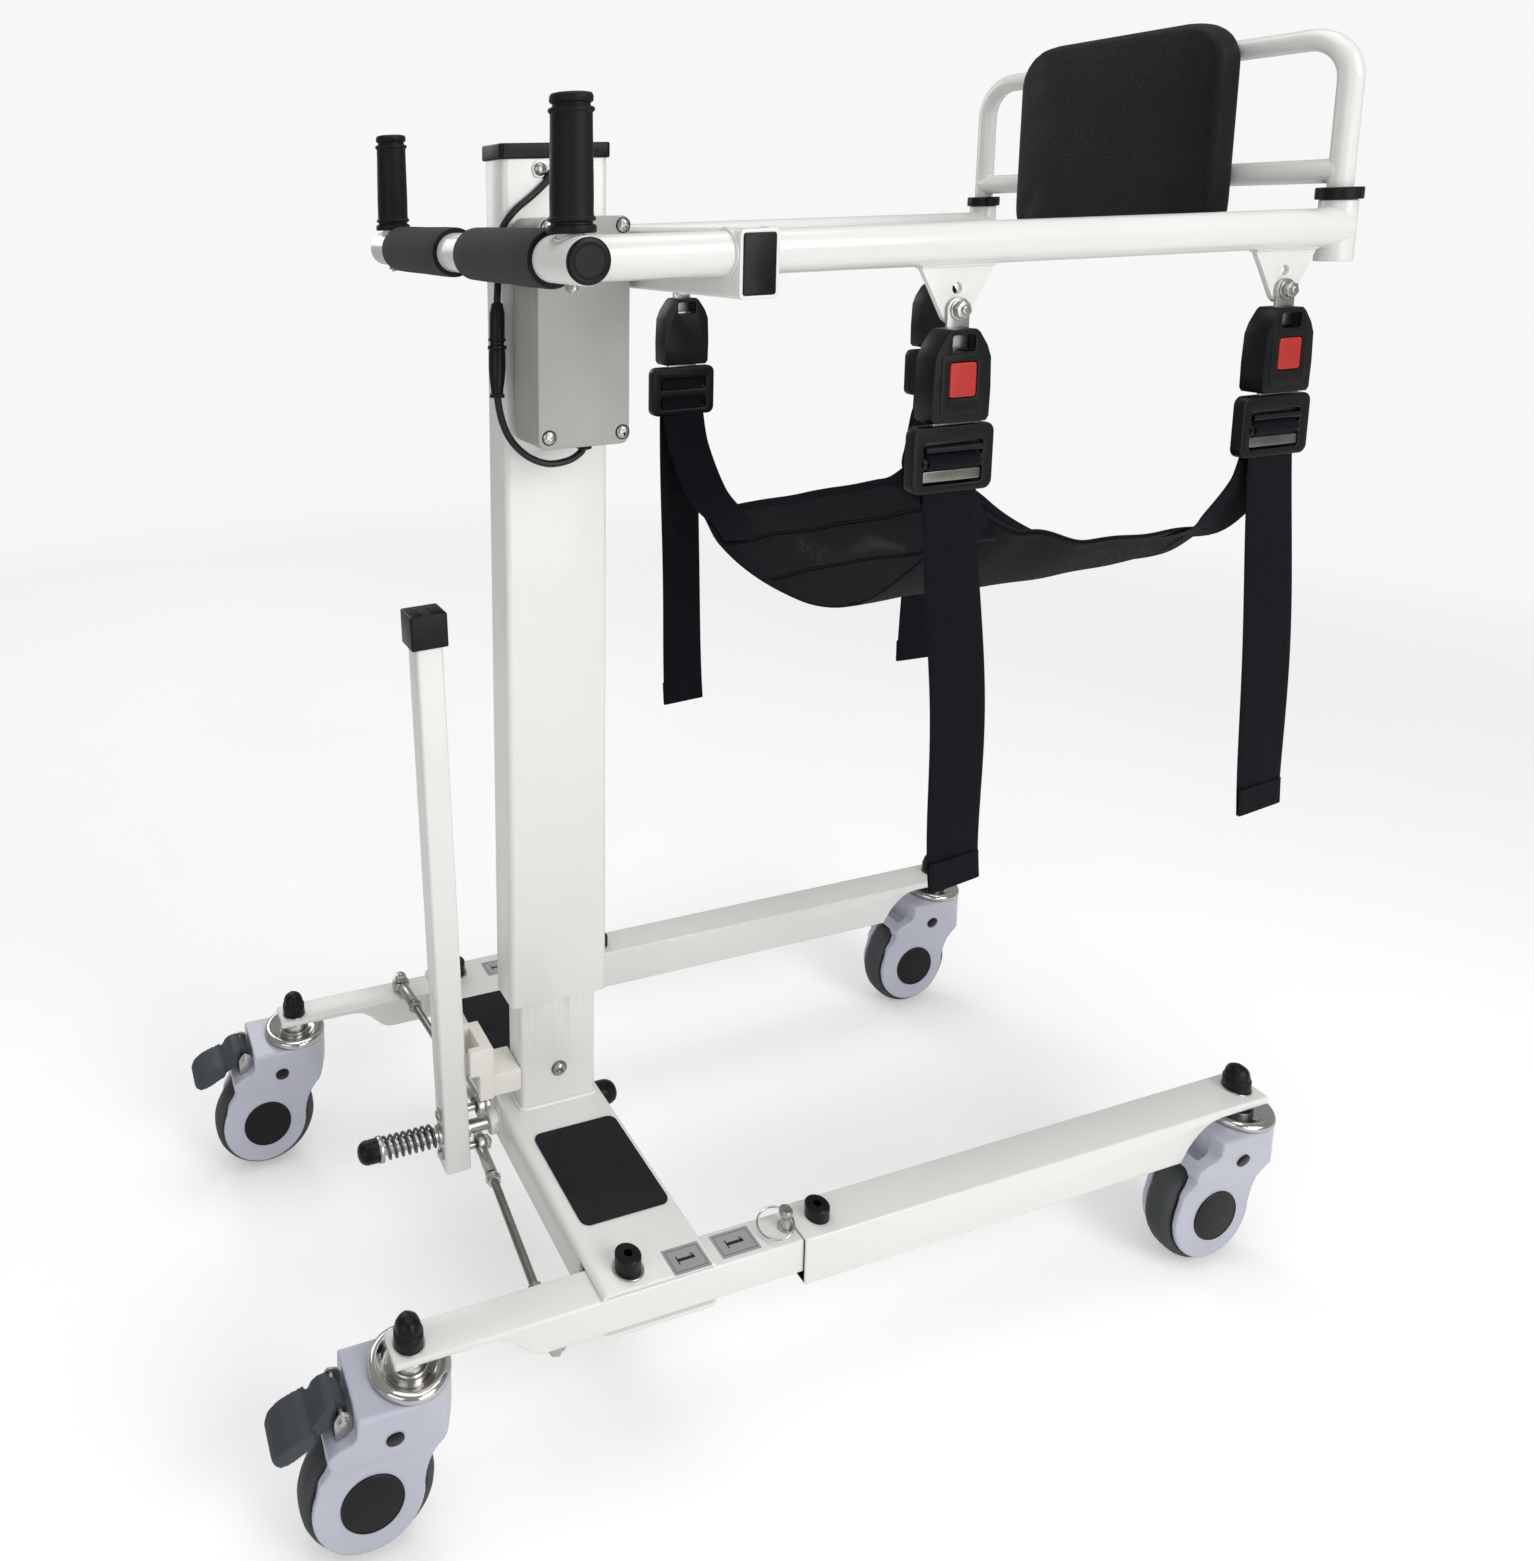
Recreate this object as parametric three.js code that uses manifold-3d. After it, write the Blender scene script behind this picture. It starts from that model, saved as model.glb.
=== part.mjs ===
import * as THREE from "three";
import Module from "manifold-3d";
import { mergeVertices } from "three/addons/utils/BufferGeometryUtils.js";

// Sit to stand lift. Millimetres, +X forward (towards the backrest), +Y left, +Z up,
// origin on the floor under the middle of the whole lift; the dimensions below are from the
// column axis, which stands ORIGIN_X behind that point.

// ---------- driving dimensions ----------
const ORIGIN_X = 200.8500;
const BEAM = { x0: -66, x1: 54, z0: 149.5, z1: 197.5, y: 255.3, wall: 3.5, slot: 208 };
const LEG_Y = 236; // half the spacing of the leg pivots
const PIVOT_X = -30;
const STUB = { h: 37, z0: 155, z1: 190.5, rear: -265, front: 262, plate: 6.5 };
const SLEEVE = { w: 44, z0: 143, z1: 193, x0: 149.2, x1: 742, wall: 2.7, plate: 9 };
const CASTER_REAR_X = -246.4, CASTER_FRONT_X = 722.2;
const WHEEL_R = 62.5, TRAIL = 43.4, HUB_Z = 62.5;
const INNER = { a: 44.4, b: 19, z0: 197.8, z1: 1075, wall: 3 };
const OUTER = { a: 56.6, b: 23.6, z0: 326.7, z1: 1239, wall: 3 };
const SHAFT_Z = 178, LEVER_ARM = 24, LEVER_X = -119, LEVER_W = 29.4, LEVER_LEAN = 0.0325;
const LEVER_Z0 = 138, LEVER_TOP = 782;
const ROD_X = -105; // where the tie rods meet the legs
const ARM = { y: 231.6, z: 1139.4, r: 19, bore: 16.6, rear: -85.9, front: 747.5 };
const BAR_Y = 268.3, BAR_R = 19.6;
const CROSS = { x0: 57.1, x1: 94.4, z0: 1101.7, z1: 1159.1, y: 254.1, wall: 3 };
const SOCKET = { z0: 1106, z1: 1166, r: 16, bore: 11.4 };
const HANG_X = [291.8, 681.4], HOLE_Z = 1099.8, BOLT_Z = 1081;
const BACK = { r: 10.8, top: 1323.5, low: 1194.3, y: 231.6, bend: 42 };
const PAD = { x0: 697, x1: 736.4, y: 137, z0: 1116, z1: 1358, r: 46 };
const BUCKLE = { w: 66, t: 24, z0: 980.3, z1: 1064 };
const ADJ = { w: 88, t: 12, z0: 915, z1: 977 };
const SEAT_Z = 736, STRAP_W = 60, TAIL_Z = 520;

const wasm = await Module();
wasm.setup();
const { Manifold, Mesh } = wasm;

// ---------- small helpers ----------
const solid = (geo) => {
  const g = geo.index ? geo.toNonIndexed() : geo.clone();
  const bare = new THREE.BufferGeometry().setAttribute("position", g.getAttribute("position"));
  const m = mergeVertices(bare, 1e-3);
  return new Manifold(new Mesh({ numProp: 3, vertProperties: m.attributes.position.array, triVerts: new Uint32Array(m.index.array) }));
};
const geometryOf = (s) => {
  const m = s.getMesh(), v = new Float32Array(m.numVert * 3);
  for (let i = 0; i < m.numVert; i++) v.set(m.vertProperties.subarray(i * m.numProp, i * m.numProp + 3), i * 3);
  const g = new THREE.BufferGeometry();
  g.setAttribute("position", new THREE.BufferAttribute(v, 3));
  g.setIndex(new THREE.BufferAttribute(new Uint32Array(m.triVerts), 1));
  const flat = g.toNonIndexed();
  flat.computeVertexNormals();
  return flat;
};
const join = (...s) => s.reduce((a, b) => a.add(b));
const cut = (s, ...t) => t.reduce((a, b) => a.subtract(b), s);
const box = (x0, x1, y0, y1, z0, z1) =>
  solid(new THREE.BoxGeometry(x1 - x0, y1 - y0, z1 - z0).translate((x0 + x1) / 2, (y0 + y1) / 2, (z0 + z1) / 2));
// rod from a to b
const rod = (a, b, r, n = 12, r2 = r) => {
  const A = new THREE.Vector3(...a), B = new THREE.Vector3(...b), d = B.clone().sub(A);
  const g = new THREE.CylinderGeometry(r2, r, d.length(), n);
  g.translate(0, d.length() / 2, 0);
  g.applyQuaternion(new THREE.Quaternion().setFromUnitVectors(new THREE.Vector3(0, 1, 0), d.clone().normalize()));
  g.translate(...a);
  return solid(g);
};
// turned piece: profile of [radius, height] pairs, about the vertical through (x, y)
const turned = (pts, x, y, z = 0, n = 12) => {
  const g = new THREE.LatheGeometry(pts.map((p) => new THREE.Vector2(p[0], p[1])), n);
  g.rotateX(Math.PI / 2);
  g.translate(x, y, z);
  let s = solid(g);
  if (s.volume() < 0) {
    const r = new THREE.LatheGeometry([...pts].reverse().map((p) => new THREE.Vector2(p[0], p[1])), n);
    r.rotateX(Math.PI / 2); r.translate(x, y, z);
    s = solid(r);
  }
  return s;
};
const roundRect = (w0, w1, h0, h1, r, seg = 2) => {
  const s = new THREE.Shape(), p = [];
  const c = [[w1 - r, h0 + r, -Math.PI / 2], [w1 - r, h1 - r, 0], [w0 + r, h1 - r, Math.PI / 2], [w0 + r, h0 + r, Math.PI]];
  c.forEach(([x, y, a]) => {
    for (let i = 0; i <= seg; i++) p.push([x + r * Math.cos(a + (i * Math.PI) / 2 / seg), y + r * Math.sin(a + (i * Math.PI) / 2 / seg)]);
  });
  p.forEach(([x, y], i) => (i ? s.lineTo(x, y) : s.moveTo(x, y)));
  s.closePath();
  return s;
};
const shapeOf = (pts) => {
  const s = new THREE.Shape();
  pts.forEach(([x, y], i) => (i ? s.lineTo(x, y) : s.moveTo(x, y)));
  s.closePath();
  return s;
};
// shape in (x, y) pushed up z
const upZ = (shape, z0, z1) => solid(new THREE.ExtrudeGeometry(shape, { depth: z1 - z0, bevelEnabled: false, curveSegments: 6 }).translate(0, 0, z0));
// shape in (x, z) pushed along y
const alongY = (shape, y0, y1) => {
  const g = new THREE.ExtrudeGeometry(shape, { depth: y1 - y0, bevelEnabled: false, curveSegments: 6 });
  g.rotateX(Math.PI / 2); // (x, y, z) -> (x, -z, y)
  g.translate(0, y1, 0);
  return solid(g);
};
// shape in (y, z) pushed along x
const alongX = (shape, x0, x1) => {
  const g = new THREE.ExtrudeGeometry(shape, { depth: x1 - x0, bevelEnabled: false, curveSegments: 6 });
  g.applyMatrix4(new THREE.Matrix4().set(0, 0, 1, 0, 1, 0, 0, 0, 0, 1, 0, 0, 0, 0, 0, 1));
  g.translate(x0, 0, 0);
  return solid(g);
};
// round tube along a curve
const pipe = (points, r, steps = 40, n = 12, tension = 0.5) => {
  const c = new THREE.CatmullRomCurve3(points.map((p) => new THREE.Vector3(...p)), false, "catmullrom", tension);
  const s = new THREE.Shape();
  for (let i = 0; i < n; i++) { const a = (2 * Math.PI * i) / n; i ? s.lineTo(r * Math.cos(a), r * Math.sin(a)) : s.moveTo(r, 0); }
  s.closePath();
  return solid(new THREE.ExtrudeGeometry(s, { steps, extrudePath: c, bevelEnabled: false }));
};
// thin sheet from a grid of points, thickened along the sheet's normal
const sheet = (nu, nv, f, t) => {
  const P = [], N = [];
  const e = 1e-3;
  for (let i = 0; i <= nu; i++)
    for (let j = 0; j <= nv; j++) {
      const u = i / nu, v = j / nv, p = new THREE.Vector3(...f(u, v));
      const du = new THREE.Vector3(...f(Math.min(1, u + e), v)).sub(new THREE.Vector3(...f(Math.max(0, u - e), v)));
      const dv = new THREE.Vector3(...f(u, Math.min(1, v + e))).sub(new THREE.Vector3(...f(u, Math.max(0, v - e))));
      P.push(p); N.push(du.cross(dv).normalize());
    }
  const at = (i, j) => i * (nv + 1) + j, pos = [], idx = [], K = P.length;
  P.forEach((p, k) => pos.push(...p.clone().addScaledVector(N[k], t / 2).toArray()));
  P.forEach((p, k) => pos.push(...p.clone().addScaledVector(N[k], -t / 2).toArray()));
  const quad = (a, b, c, d) => idx.push(a, b, c, a, c, d);
  for (let i = 0; i < nu; i++)
    for (let j = 0; j < nv; j++) {
      quad(at(i, j), at(i + 1, j), at(i + 1, j + 1), at(i, j + 1));
      quad(K + at(i, j), K + at(i, j + 1), K + at(i + 1, j + 1), K + at(i + 1, j));
    }
  for (let i = 0; i < nu; i++) {
    quad(at(i, 0), K + at(i, 0), K + at(i + 1, 0), at(i + 1, 0));
    quad(at(i, nv), at(i + 1, nv), K + at(i + 1, nv), K + at(i, nv));
  }
  for (let j = 0; j < nv; j++) {
    quad(at(0, j), at(0, j + 1), K + at(0, j + 1), K + at(0, j));
    quad(at(nu, j), K + at(nu, j), K + at(nu, j + 1), at(nu, j + 1));
  }
  const g = new THREE.BufferGeometry();
  g.setAttribute("position", new THREE.BufferAttribute(new Float32Array(pos), 3));
  g.setIndex(idx);
  let s = solid(g);
  if (s.volume() < 0) { for (let k = 0; k < idx.length; k += 3) [idx[k + 1], idx[k + 2]] = [idx[k + 2], idx[k + 1]]; g.setIndex(idx); s = solid(g); }
  return s;
};

const root = new THREE.Group();
root.name = "sit_to_stand_lift";
const MAT = {
  frame: [0xe9e8e4, 0.35, 0.0], housing: [0xb9bcc8, 0.4, 0.0], rubber: [0x2b2c2e, 0.85, 0.0], tyre: [0x3a3d40, 0.8, 0.0],
  pedal: [0x454c55, 0.6, 0.0], steel: [0xb8b8b6, 0.3, 1.0], plastic: [0x17181a, 0.55, 0.0], foam: [0x5c5d5f, 0.95, 0.0],
  abs: [0xc4c3ba, 0.5, 0.0], nylon: [0xeeece4, 0.5, 0.0], webbing: [0x10131a, 0.9, 0.0], mesh: [0x15181d, 0.9, 0.0],
  button: [0xc4211c, 0.45, 0.0], leather: [0x14151a, 0.5, 0.0], grit: [0x24272b, 0.9, 0.0],
};
const put = (name, s, mat) => {
  const [c, r, m] = MAT[mat];
  const mesh = new THREE.Mesh(geometryOf(s), new THREE.MeshStandardMaterial({ color: c, roughness: r, metalness: m }));
  mesh.name = name;
  root.add(mesh);
};

// ---------- base crossbeam: rectangular tube, side walls cut away at each end for the legs ----------
{
  let s = alongY(roundRect(BEAM.x0, BEAM.x1, BEAM.z0, BEAM.z1, 6), -BEAM.y, BEAM.y);
  s = cut(s, alongY(roundRect(BEAM.x0 + BEAM.wall, BEAM.x1 - BEAM.wall, BEAM.z0 + BEAM.wall, BEAM.z1 - BEAM.wall, 3), -BEAM.y - 1, BEAM.y + 1));
  for (const k of [-1, 1]) {
    const a = k < 0 ? -BEAM.y - 1 : BEAM.slot, b = k < 0 ? -BEAM.slot : BEAM.y + 1;
    s = cut(s, box(BEAM.x0 - 1, BEAM.x1 + 1, a, b, BEAM.z0 + 5, BEAM.z1 - 6));
    s = cut(s, rod([PIVOT_X, k * LEG_Y, 100], [PIVOT_X, k * LEG_Y, 250], 6.3, 24));
  }
  // welded boss that carries the lever shaft
  s = s.add(rod([BEAM.x0 - 12, 0, SHAFT_Z], [BEAM.x0 + 1, 0, SHAFT_Z], 13, 24));
  s = cut(s, rod([BEAM.x0 - 20, 0, SHAFT_Z], [BEAM.x0 + 6, 0, SHAFT_Z], 7.3, 24));
  // cap nut on the front end of the lever shaft
  s = s.add(turned([[0, 0], [12, 0], [12, 16], [10.4, 20.5], [6.5, 24], [0, 25.4]], 0, 0, 0, 20).rotate([0, 90, 0]).translate([BEAM.x1 - 0.5, 0, SHAFT_Z]));
  put("base_crossbeam", s, "frame");
}
// ---------- inner column with its through bolt, and the white stop block behind it ----------
{
  let s = upZ(roundRect(-INNER.a, INNER.a, -INNER.b, INNER.b, 5), INNER.z0, INNER.z1);
  s = cut(s, upZ(roundRect(-INNER.a + INNER.wall, INNER.a - INNER.wall, -INNER.b + INNER.wall, INNER.b - INNER.wall, 2.5), INNER.z0 - 1, INNER.z1 + 1));
  // through bolt with its heads, pinned in the walls
  s = join(s, rod([0, -INNER.b - 5.2, 240], [0, INNER.b + 6.2, 240], 4, 16), rod([0, -INNER.b - 5.2, 240], [0, -INNER.b + 0.5, 240], 7.5, 20), rod([0, INNER.b - 0.5, 240], [0, INNER.b + 6.2, 240], 7.5, 6));
  put("inner_column", s, "frame");
  // block: low foot bolted to the column, tall head with a slot that takes the lever
  let k = join(box(-82, -INNER.a - 0.3, -19, 22, 224, 249), box(-105.6, -79, -24, 24, 226, 287));
  k = cut(k, box(-110, -92, -15.6, 15.6, 220, 300), box(-107, -95, -30, 30, 220, 257));
  put("stop_block", k, "nylon");
}
// ---------- anti-slip foot pads ----------
for (const [n, k] of [["left", 1], ["right", -1]])
  put("foot_pad_" + n, upZ(k > 0 ? roundRect(-49, 47, 57, 181, 9) : roundRect(-49, 47, -181, -57, 9), BEAM.z1 + 0.3, BEAM.z1 + 2), "grit");

// ---------- pivot bolts: cap screw, washer and shank ----------
for (const [n, k] of [["left", 1], ["right", -1]])
  put("pivot_bolt_" + n, turned([[0, 146], [9, 146], [9, 149.2], [5.9, 149.2], [5.9, 197.8], [15, 197.8], [15, 199.6], [12.4, 199.6], [12.4, 214], [11.4, 215], [6, 215], [6, 209], [0, 209]], PIVOT_X, k * LEG_Y), "plastic");

// ---------- lever shaft with spring seat and end cap ----------
{
  let s = rod([-214, 0, SHAFT_Z], [BEAM.x0 + 3, 0, SHAFT_Z], 7, 24);
  s = join(s, rod([-206, 0, SHAFT_Z], [-201, 0, SHAFT_Z], 13, 16), rod([-228, 0, SHAFT_Z], [-206, 0, SHAFT_Z], 12, 24));
  put("lever_shaft", s, "steel");
  const pts = [], turns = 5.5, x0 = -198, x1 = -141;
  for (let i = 0; i <= turns * 8; i++) {
    const a = (2 * Math.PI * i) / 8;
    pts.push([x0 + ((x1 - x0) * i) / (turns * 8), 10.6 * Math.cos(a), SHAFT_Z + 10.6 * Math.sin(a)]);
  }
  put("shaft_spring", pipe(pts, 1.5, Math.round(turns * 9), 5), "steel");
}
// ---------- lever: bush that slides on the shaft, bar with two studs and the cap on its top ----------
{
  put("lever_bush", cut(rod([-137.5, 0, SHAFT_Z], [-101.5, 0, SHAFT_Z], 10, 28), rod([-140, 0, SHAFT_Z], [-99, 0, SHAFT_Z], 7.3, 24)), "steel");
  const h = LEVER_W / 2, g = new THREE.ExtrudeGeometry(roundRect(-h, h, -h, h, 3.5, 2), { depth: LEVER_TOP - LEVER_Z0 - 20, bevelEnabled: false });
  g.translate(0, 0, LEVER_Z0 - SHAFT_Z);
  g.rotateY(-LEVER_LEAN);
  g.translate(LEVER_X, 0, SHAFT_Z);
  let s = solid(g);
  for (const d of [1, -1]) {
    const z = SHAFT_Z + d * LEVER_ARM;
    s = join(s, rod([LEVER_X - 18, 0, z], [-78, 0, z], 4, 16), rod([-81.4, 0, z], [-76, 0, z], 7.6, 6), rod([LEVER_X - 21, 0, z], [LEVER_X - 14, 0, z], 6.5, 20));
  }
  s = cut(s, rod([-160, 0, SHAFT_Z], [-90, 0, SHAFT_Z], 10.3, 28));
  const c = new THREE.ExtrudeGeometry(roundRect(-20, 20, -17.5, 17.5, 3, 2), { depth: 37, bevelEnabled: false });
  c.translate(0, 0, LEVER_TOP - SHAFT_Z - 37);
  c.rotateY(-LEVER_LEAN);
  c.translate(LEVER_X, 0, SHAFT_Z);
  put("lever_bar", s.add(solid(c)), "frame");
}
// ---------- legs, front legs, tie rods, pins ----------
for (const [n, k] of [["left", 1], ["right", -1]]) {
  const Y = k * LEG_Y, h = STUB.h / 2, T = 3;
  // rear leg and stub: square tube whose rear end is a plate for the caster
  let s = alongX(roundRect(Y - h, Y + h, STUB.z0, STUB.z1, 3, 2), STUB.rear, STUB.front);
  s = cut(s, alongX(roundRect(Y - h + T, Y + h - T, STUB.z0 + T, STUB.z1 - T, 1.5, 2), -118, STUB.front + 1));
  const zp = STUB.z1 - STUB.plate;
  const under = [[-300, 100], [-300, zp], [-178, zp], [-166, zp - 1.5], [-156, zp - 6], [-148, zp - 13], [-140, zp - 21], [-132, zp - 27], [-122, STUB.z0 - 0.5], [-122, 100]];
  s = cut(s, alongY(shapeOf(under), Y - 40, Y + 40));
  s = cut(s, rod([CASTER_REAR_X, Y, 100], [CASTER_REAR_X, Y, 300], 6.4, 20));
  // pivot tube through the leg, with the pin's bore
  s = s.add(rod([PIVOT_X, Y, STUB.z0 + 0.5], [PIVOT_X, Y, STUB.z1 - 0.5], 11, 24));
  s = cut(s, rod([PIVOT_X, Y, 100], [PIVOT_X, Y, 300], 6.3, 24));
  // hole for the lock pin
  s = cut(s, rod([141, Y, 100], [141, Y, 300], 5.4, 16));
  // stud that carries the tie rod: on top on the left, underneath on the right
  if (k > 0) s = join(s, rod([ROD_X, Y, STUB.z1 - 2], [ROD_X, Y, 209], 4, 16), rod([ROD_X, Y, 206.5], [ROD_X, Y, 212], 7.4, 6));
  else s = join(s, rod([ROD_X, Y, 136], [ROD_X, Y, STUB.z0 + 2], 4, 16), rod([ROD_X, Y, 133.5], [ROD_X, Y, 138.5], 7.4, 6));
  put("leg_" + n, s, "frame");

  // front leg: sleeve over the stub, side walls arched away over the caster
  const w = SLEEVE.w / 2;
  let f = alongX(roundRect(Y - w, Y + w, SLEEVE.z0, SLEEVE.z1, 3.5, 2), SLEEVE.x0, SLEEVE.x1);
  const zt = SLEEVE.z1 - SLEEVE.plate;
  f = cut(f, alongX(roundRect(Y - w + SLEEVE.wall, Y + w - SLEEVE.wall, SLEEVE.z0 + SLEEVE.wall, SLEEVE.z1 - 2.2, 1.5, 2), SLEEVE.x0 - 1, 612));
  const arch = [[800, 100], [800, zt], [678, zt], [668, zt - 1], [658, zt - 4], [648, zt - 9], [638, zt - 17], [630, zt - 26], [622, SLEEVE.z0 - 0.5], [622, 100]].reverse();
  f = cut(f, alongY(shapeOf(arch), Y - 40, Y + 40));
  f = cut(f, rod([CASTER_FRONT_X, Y, 100], [CASTER_FRONT_X, Y, 300], 6.4, 20));
  // clamp screw head standing on the sleeve
  f = f.add(turned([[0, 192], [11.8, 192], [11.8, 206], [10.8, 207], [5, 207], [5, 202], [0, 202]], 177, Y, 0, 24));
  put("front_leg_" + n, f, "frame");

  // quick release pin with its ring
  let p = turned([[0, 151], [4.9, 151], [4.9, 190.8], [7.6, 190.8], [7.6, 192.6], [5.6, 192.6], [5.6, 208.5], [6.6, 208.5], [6.6, 211], [0, 211]], 141, Y, 0, 12);
  const wire = [];
  for (let i = 0; i <= 5; i++) { const a = (-2 * Math.PI * i) / 5; wire.push(new THREE.Vector2(17.5 + 1.3 * Math.cos(a), 1.3 * Math.sin(a))); }
  const hoop = new THREE.LatheGeometry(wire, 20);
  hoop.rotateX(Math.PI / 2);
  hoop.rotateY(-0.22);
  hoop.translate(129.4, Y, 198.6);
  let hp = solid(hoop);
  if (hp.volume() < 0) { hoop.scale(1, -1, 1); hoop.translate(0, 2 * Y, 0); hp = solid(hoop); }
  p = p.add(hp);
  put("lock_pin_" + n, p, "steel");

  // tie rod: eye at the lever, ball joint at the leg
  const zl = SHAFT_Z + k * LEVER_ARM, zg = k > 0 ? 198.5 : 146;
    let r = join(rod([-92, 0, zl], [-84, 0, zl], 12, 16), rod([-89, k * 8, zl], [ROD_X + 1, Y - k * 8, zg], 5, 12), rod([ROD_X, Y, zg - 5.5], [ROD_X, Y, zg + 5.5], 11, 16),
    rod([-88.5, k * 10, zl], [-91.2, k * 42, zl + (zg - zl) * 0.17], 6, 12), rod([-104, Y - k * 42, zg - (zg - zl) * 0.17], [ROD_X + 0.5, Y - k * 9, zg], 7.5, 12));
  r = cut(r, rod([-96, 0, zl], [-80, 0, zl], 7.6, 16), rod([ROD_X, Y, zg - 10], [ROD_X, Y, zg + 10], 4.4, 12));
  put("tie_rod_" + n, r, "steel");
}
// ---------- casters ----------
const casterAt = { rear_left: [CASTER_REAR_X, LEG_Y], rear_right: [CASTER_REAR_X, -LEG_Y], front_left: [CASTER_FRONT_X, LEG_Y], front_right: [CASTER_FRONT_X, -LEG_Y] };
for (const [n, [x, y]] of Object.entries(casterAt)) {
  const rear = n.startsWith("rear");
  const zu = rear ? STUB.z1 - STUB.plate : SLEEVE.z1 - SLEEVE.plate, zt = rear ? STUB.z1 : SLEEVE.z1;
  // stem: swivel dish, spacer, stud and domed nut cap
  put("caster_stem_" + n, turned([[0, 166.3], [37.6, 166.3], [37.6, 171.8], [33, 174.2], [20, 172], [13.5, 172], [13.5, zu - 0.3], [6, zu - 0.3], [6, zt + 0.3], [13.6, zt + 0.3], [13.4, zt + 13], [10.6, zt + 21], [0, zt + 27.5]], x, y), "steel");
  // housing: flat top round at the front, two cheeks narrowing to a disc round the axle
  const disc = [];
  for (let i = 0; i <= 9; i++) { const a = (-i * 23 * Math.PI) / 180; disc.push([-TRAIL - 2.5 + 52 * Math.cos(a), HUB_Z + 52 * Math.sin(a)]); }
  const side = [[-58, 166], [37, 166], [36.5, 144], [33, 128], [22, 106], [12, 86], [8.5, 74], ...disc, [-82.5, 106], [-80, 118], [-84.5, 127], [-83, 135], [-76, 141], [-62, 146], [-58, 151]];
  const cheek = alongY(shapeOf(side), -40, 40);
  const wedge = alongX(shapeOf([[-36, 170], [-36, 158], [-30, 126], [-21.8, 94], [-21.5, 5], [21.5, 5], [21.8, 94], [30, 126], [36, 158], [36, 170]]), -120, 60);
  let hs = cheek.intersect(wedge);
  const top = [];
  for (let i = 0; i <= 10; i++) { const a = -Math.PI / 2 + (Math.PI * i) / 10; top.push([37.2 * Math.cos(a), 36 * Math.sin(a)]); }
  top.push([-100, 36], [-100, -36]);
  hs = hs.intersect(upZ(shapeOf(top), 5, 168));
  // room for the wheel
  hs = cut(hs, rod([-TRAIL, -15.5, HUB_Z], [-TRAIL, 15.5, HUB_Z], WHEEL_R + 3, 22), box(-140, -TRAIL, -15.5, 15.5, 0, 126), box(-TRAIL, 60, -15.5, 15.5, 0, HUB_Z));
  hs = hs.add(rod([-TRAIL, -18, HUB_Z], [-TRAIL, 18, HUB_Z], 5, 12));
  hs = join(hs, rod([-TRAIL, -22.6, HUB_Z], [-TRAIL, -18, HUB_Z], 29, 16), rod([-TRAIL, 18, HUB_Z], [-TRAIL, 22.6, HUB_Z], 29, 16));
  if (rear) hs = join(hs, box(-74, -57, -24, -20.4, 139, 164), box(-74, -57, 20.4, 24, 139, 164));
  if (rear) hs = cut(hs, rod([-68, -30, 157.5], [-68, 30, 157.5], 3.4, 16));
  put("caster_housing_" + n, hs.translate([x, y, 0]), "housing");
  // wheel: tyre and hub turned about the axle
  const wp = [[5.4, -12], [46, -10], [50, -13], [57, -13.6], [61, -10], [WHEEL_R, -4], [WHEEL_R, 4], [61, 10], [57, 13.6], [50, 13], [46, 10], [5.4, 12], [5.4, -12]];
  let wg = new THREE.LatheGeometry(wp.map((q) => new THREE.Vector2(q[0], q[1])), 22), ws = solid(wg);
  if (ws.volume() < 0) { wg = new THREE.LatheGeometry([...wp].reverse().map((q) => new THREE.Vector2(q[0], q[1])), 22); ws = solid(wg); }
  put("wheel_" + n, ws.translate([x - TRAIL, y, HUB_Z]), "tyre");
  if (rear) {
    // brake pedal: two-step treadle on a cross pin
    let pd = alongY(shapeOf([[-61, 152], [-61.5, 160], [-66, 165.5], [-74, 167.5], [-82, 166.5], [-88.5, 162], [-91.5, 156.5], [-96, 153.4], [-106, 151.2], [-118, 146.6], [-127, 140.6], [-129.5, 135.5], [-128, 130.6], [-122, 129.4], [-111, 134], [-100, 139], [-90, 143.5], [-80, 147.5], [-70, 150.5]].reverse()), -20, 20);
    pd = cut(pd, box(-72, -50, -21, -12, 130, 175), box(-72, -50, 12, 21, 130, 175));
    pd = pd.add(rod([-68, -19.9, 157.5], [-68, 19.9, 157.5], 5.5, 20));
    pd = pd.add(rod([-68, -25.5, 157.5], [-68, 25.5, 157.5], 3, 16));
    put("brake_pedal_" + n, pd.translate([x, y, 0]), "pedal");
  }
}
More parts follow.
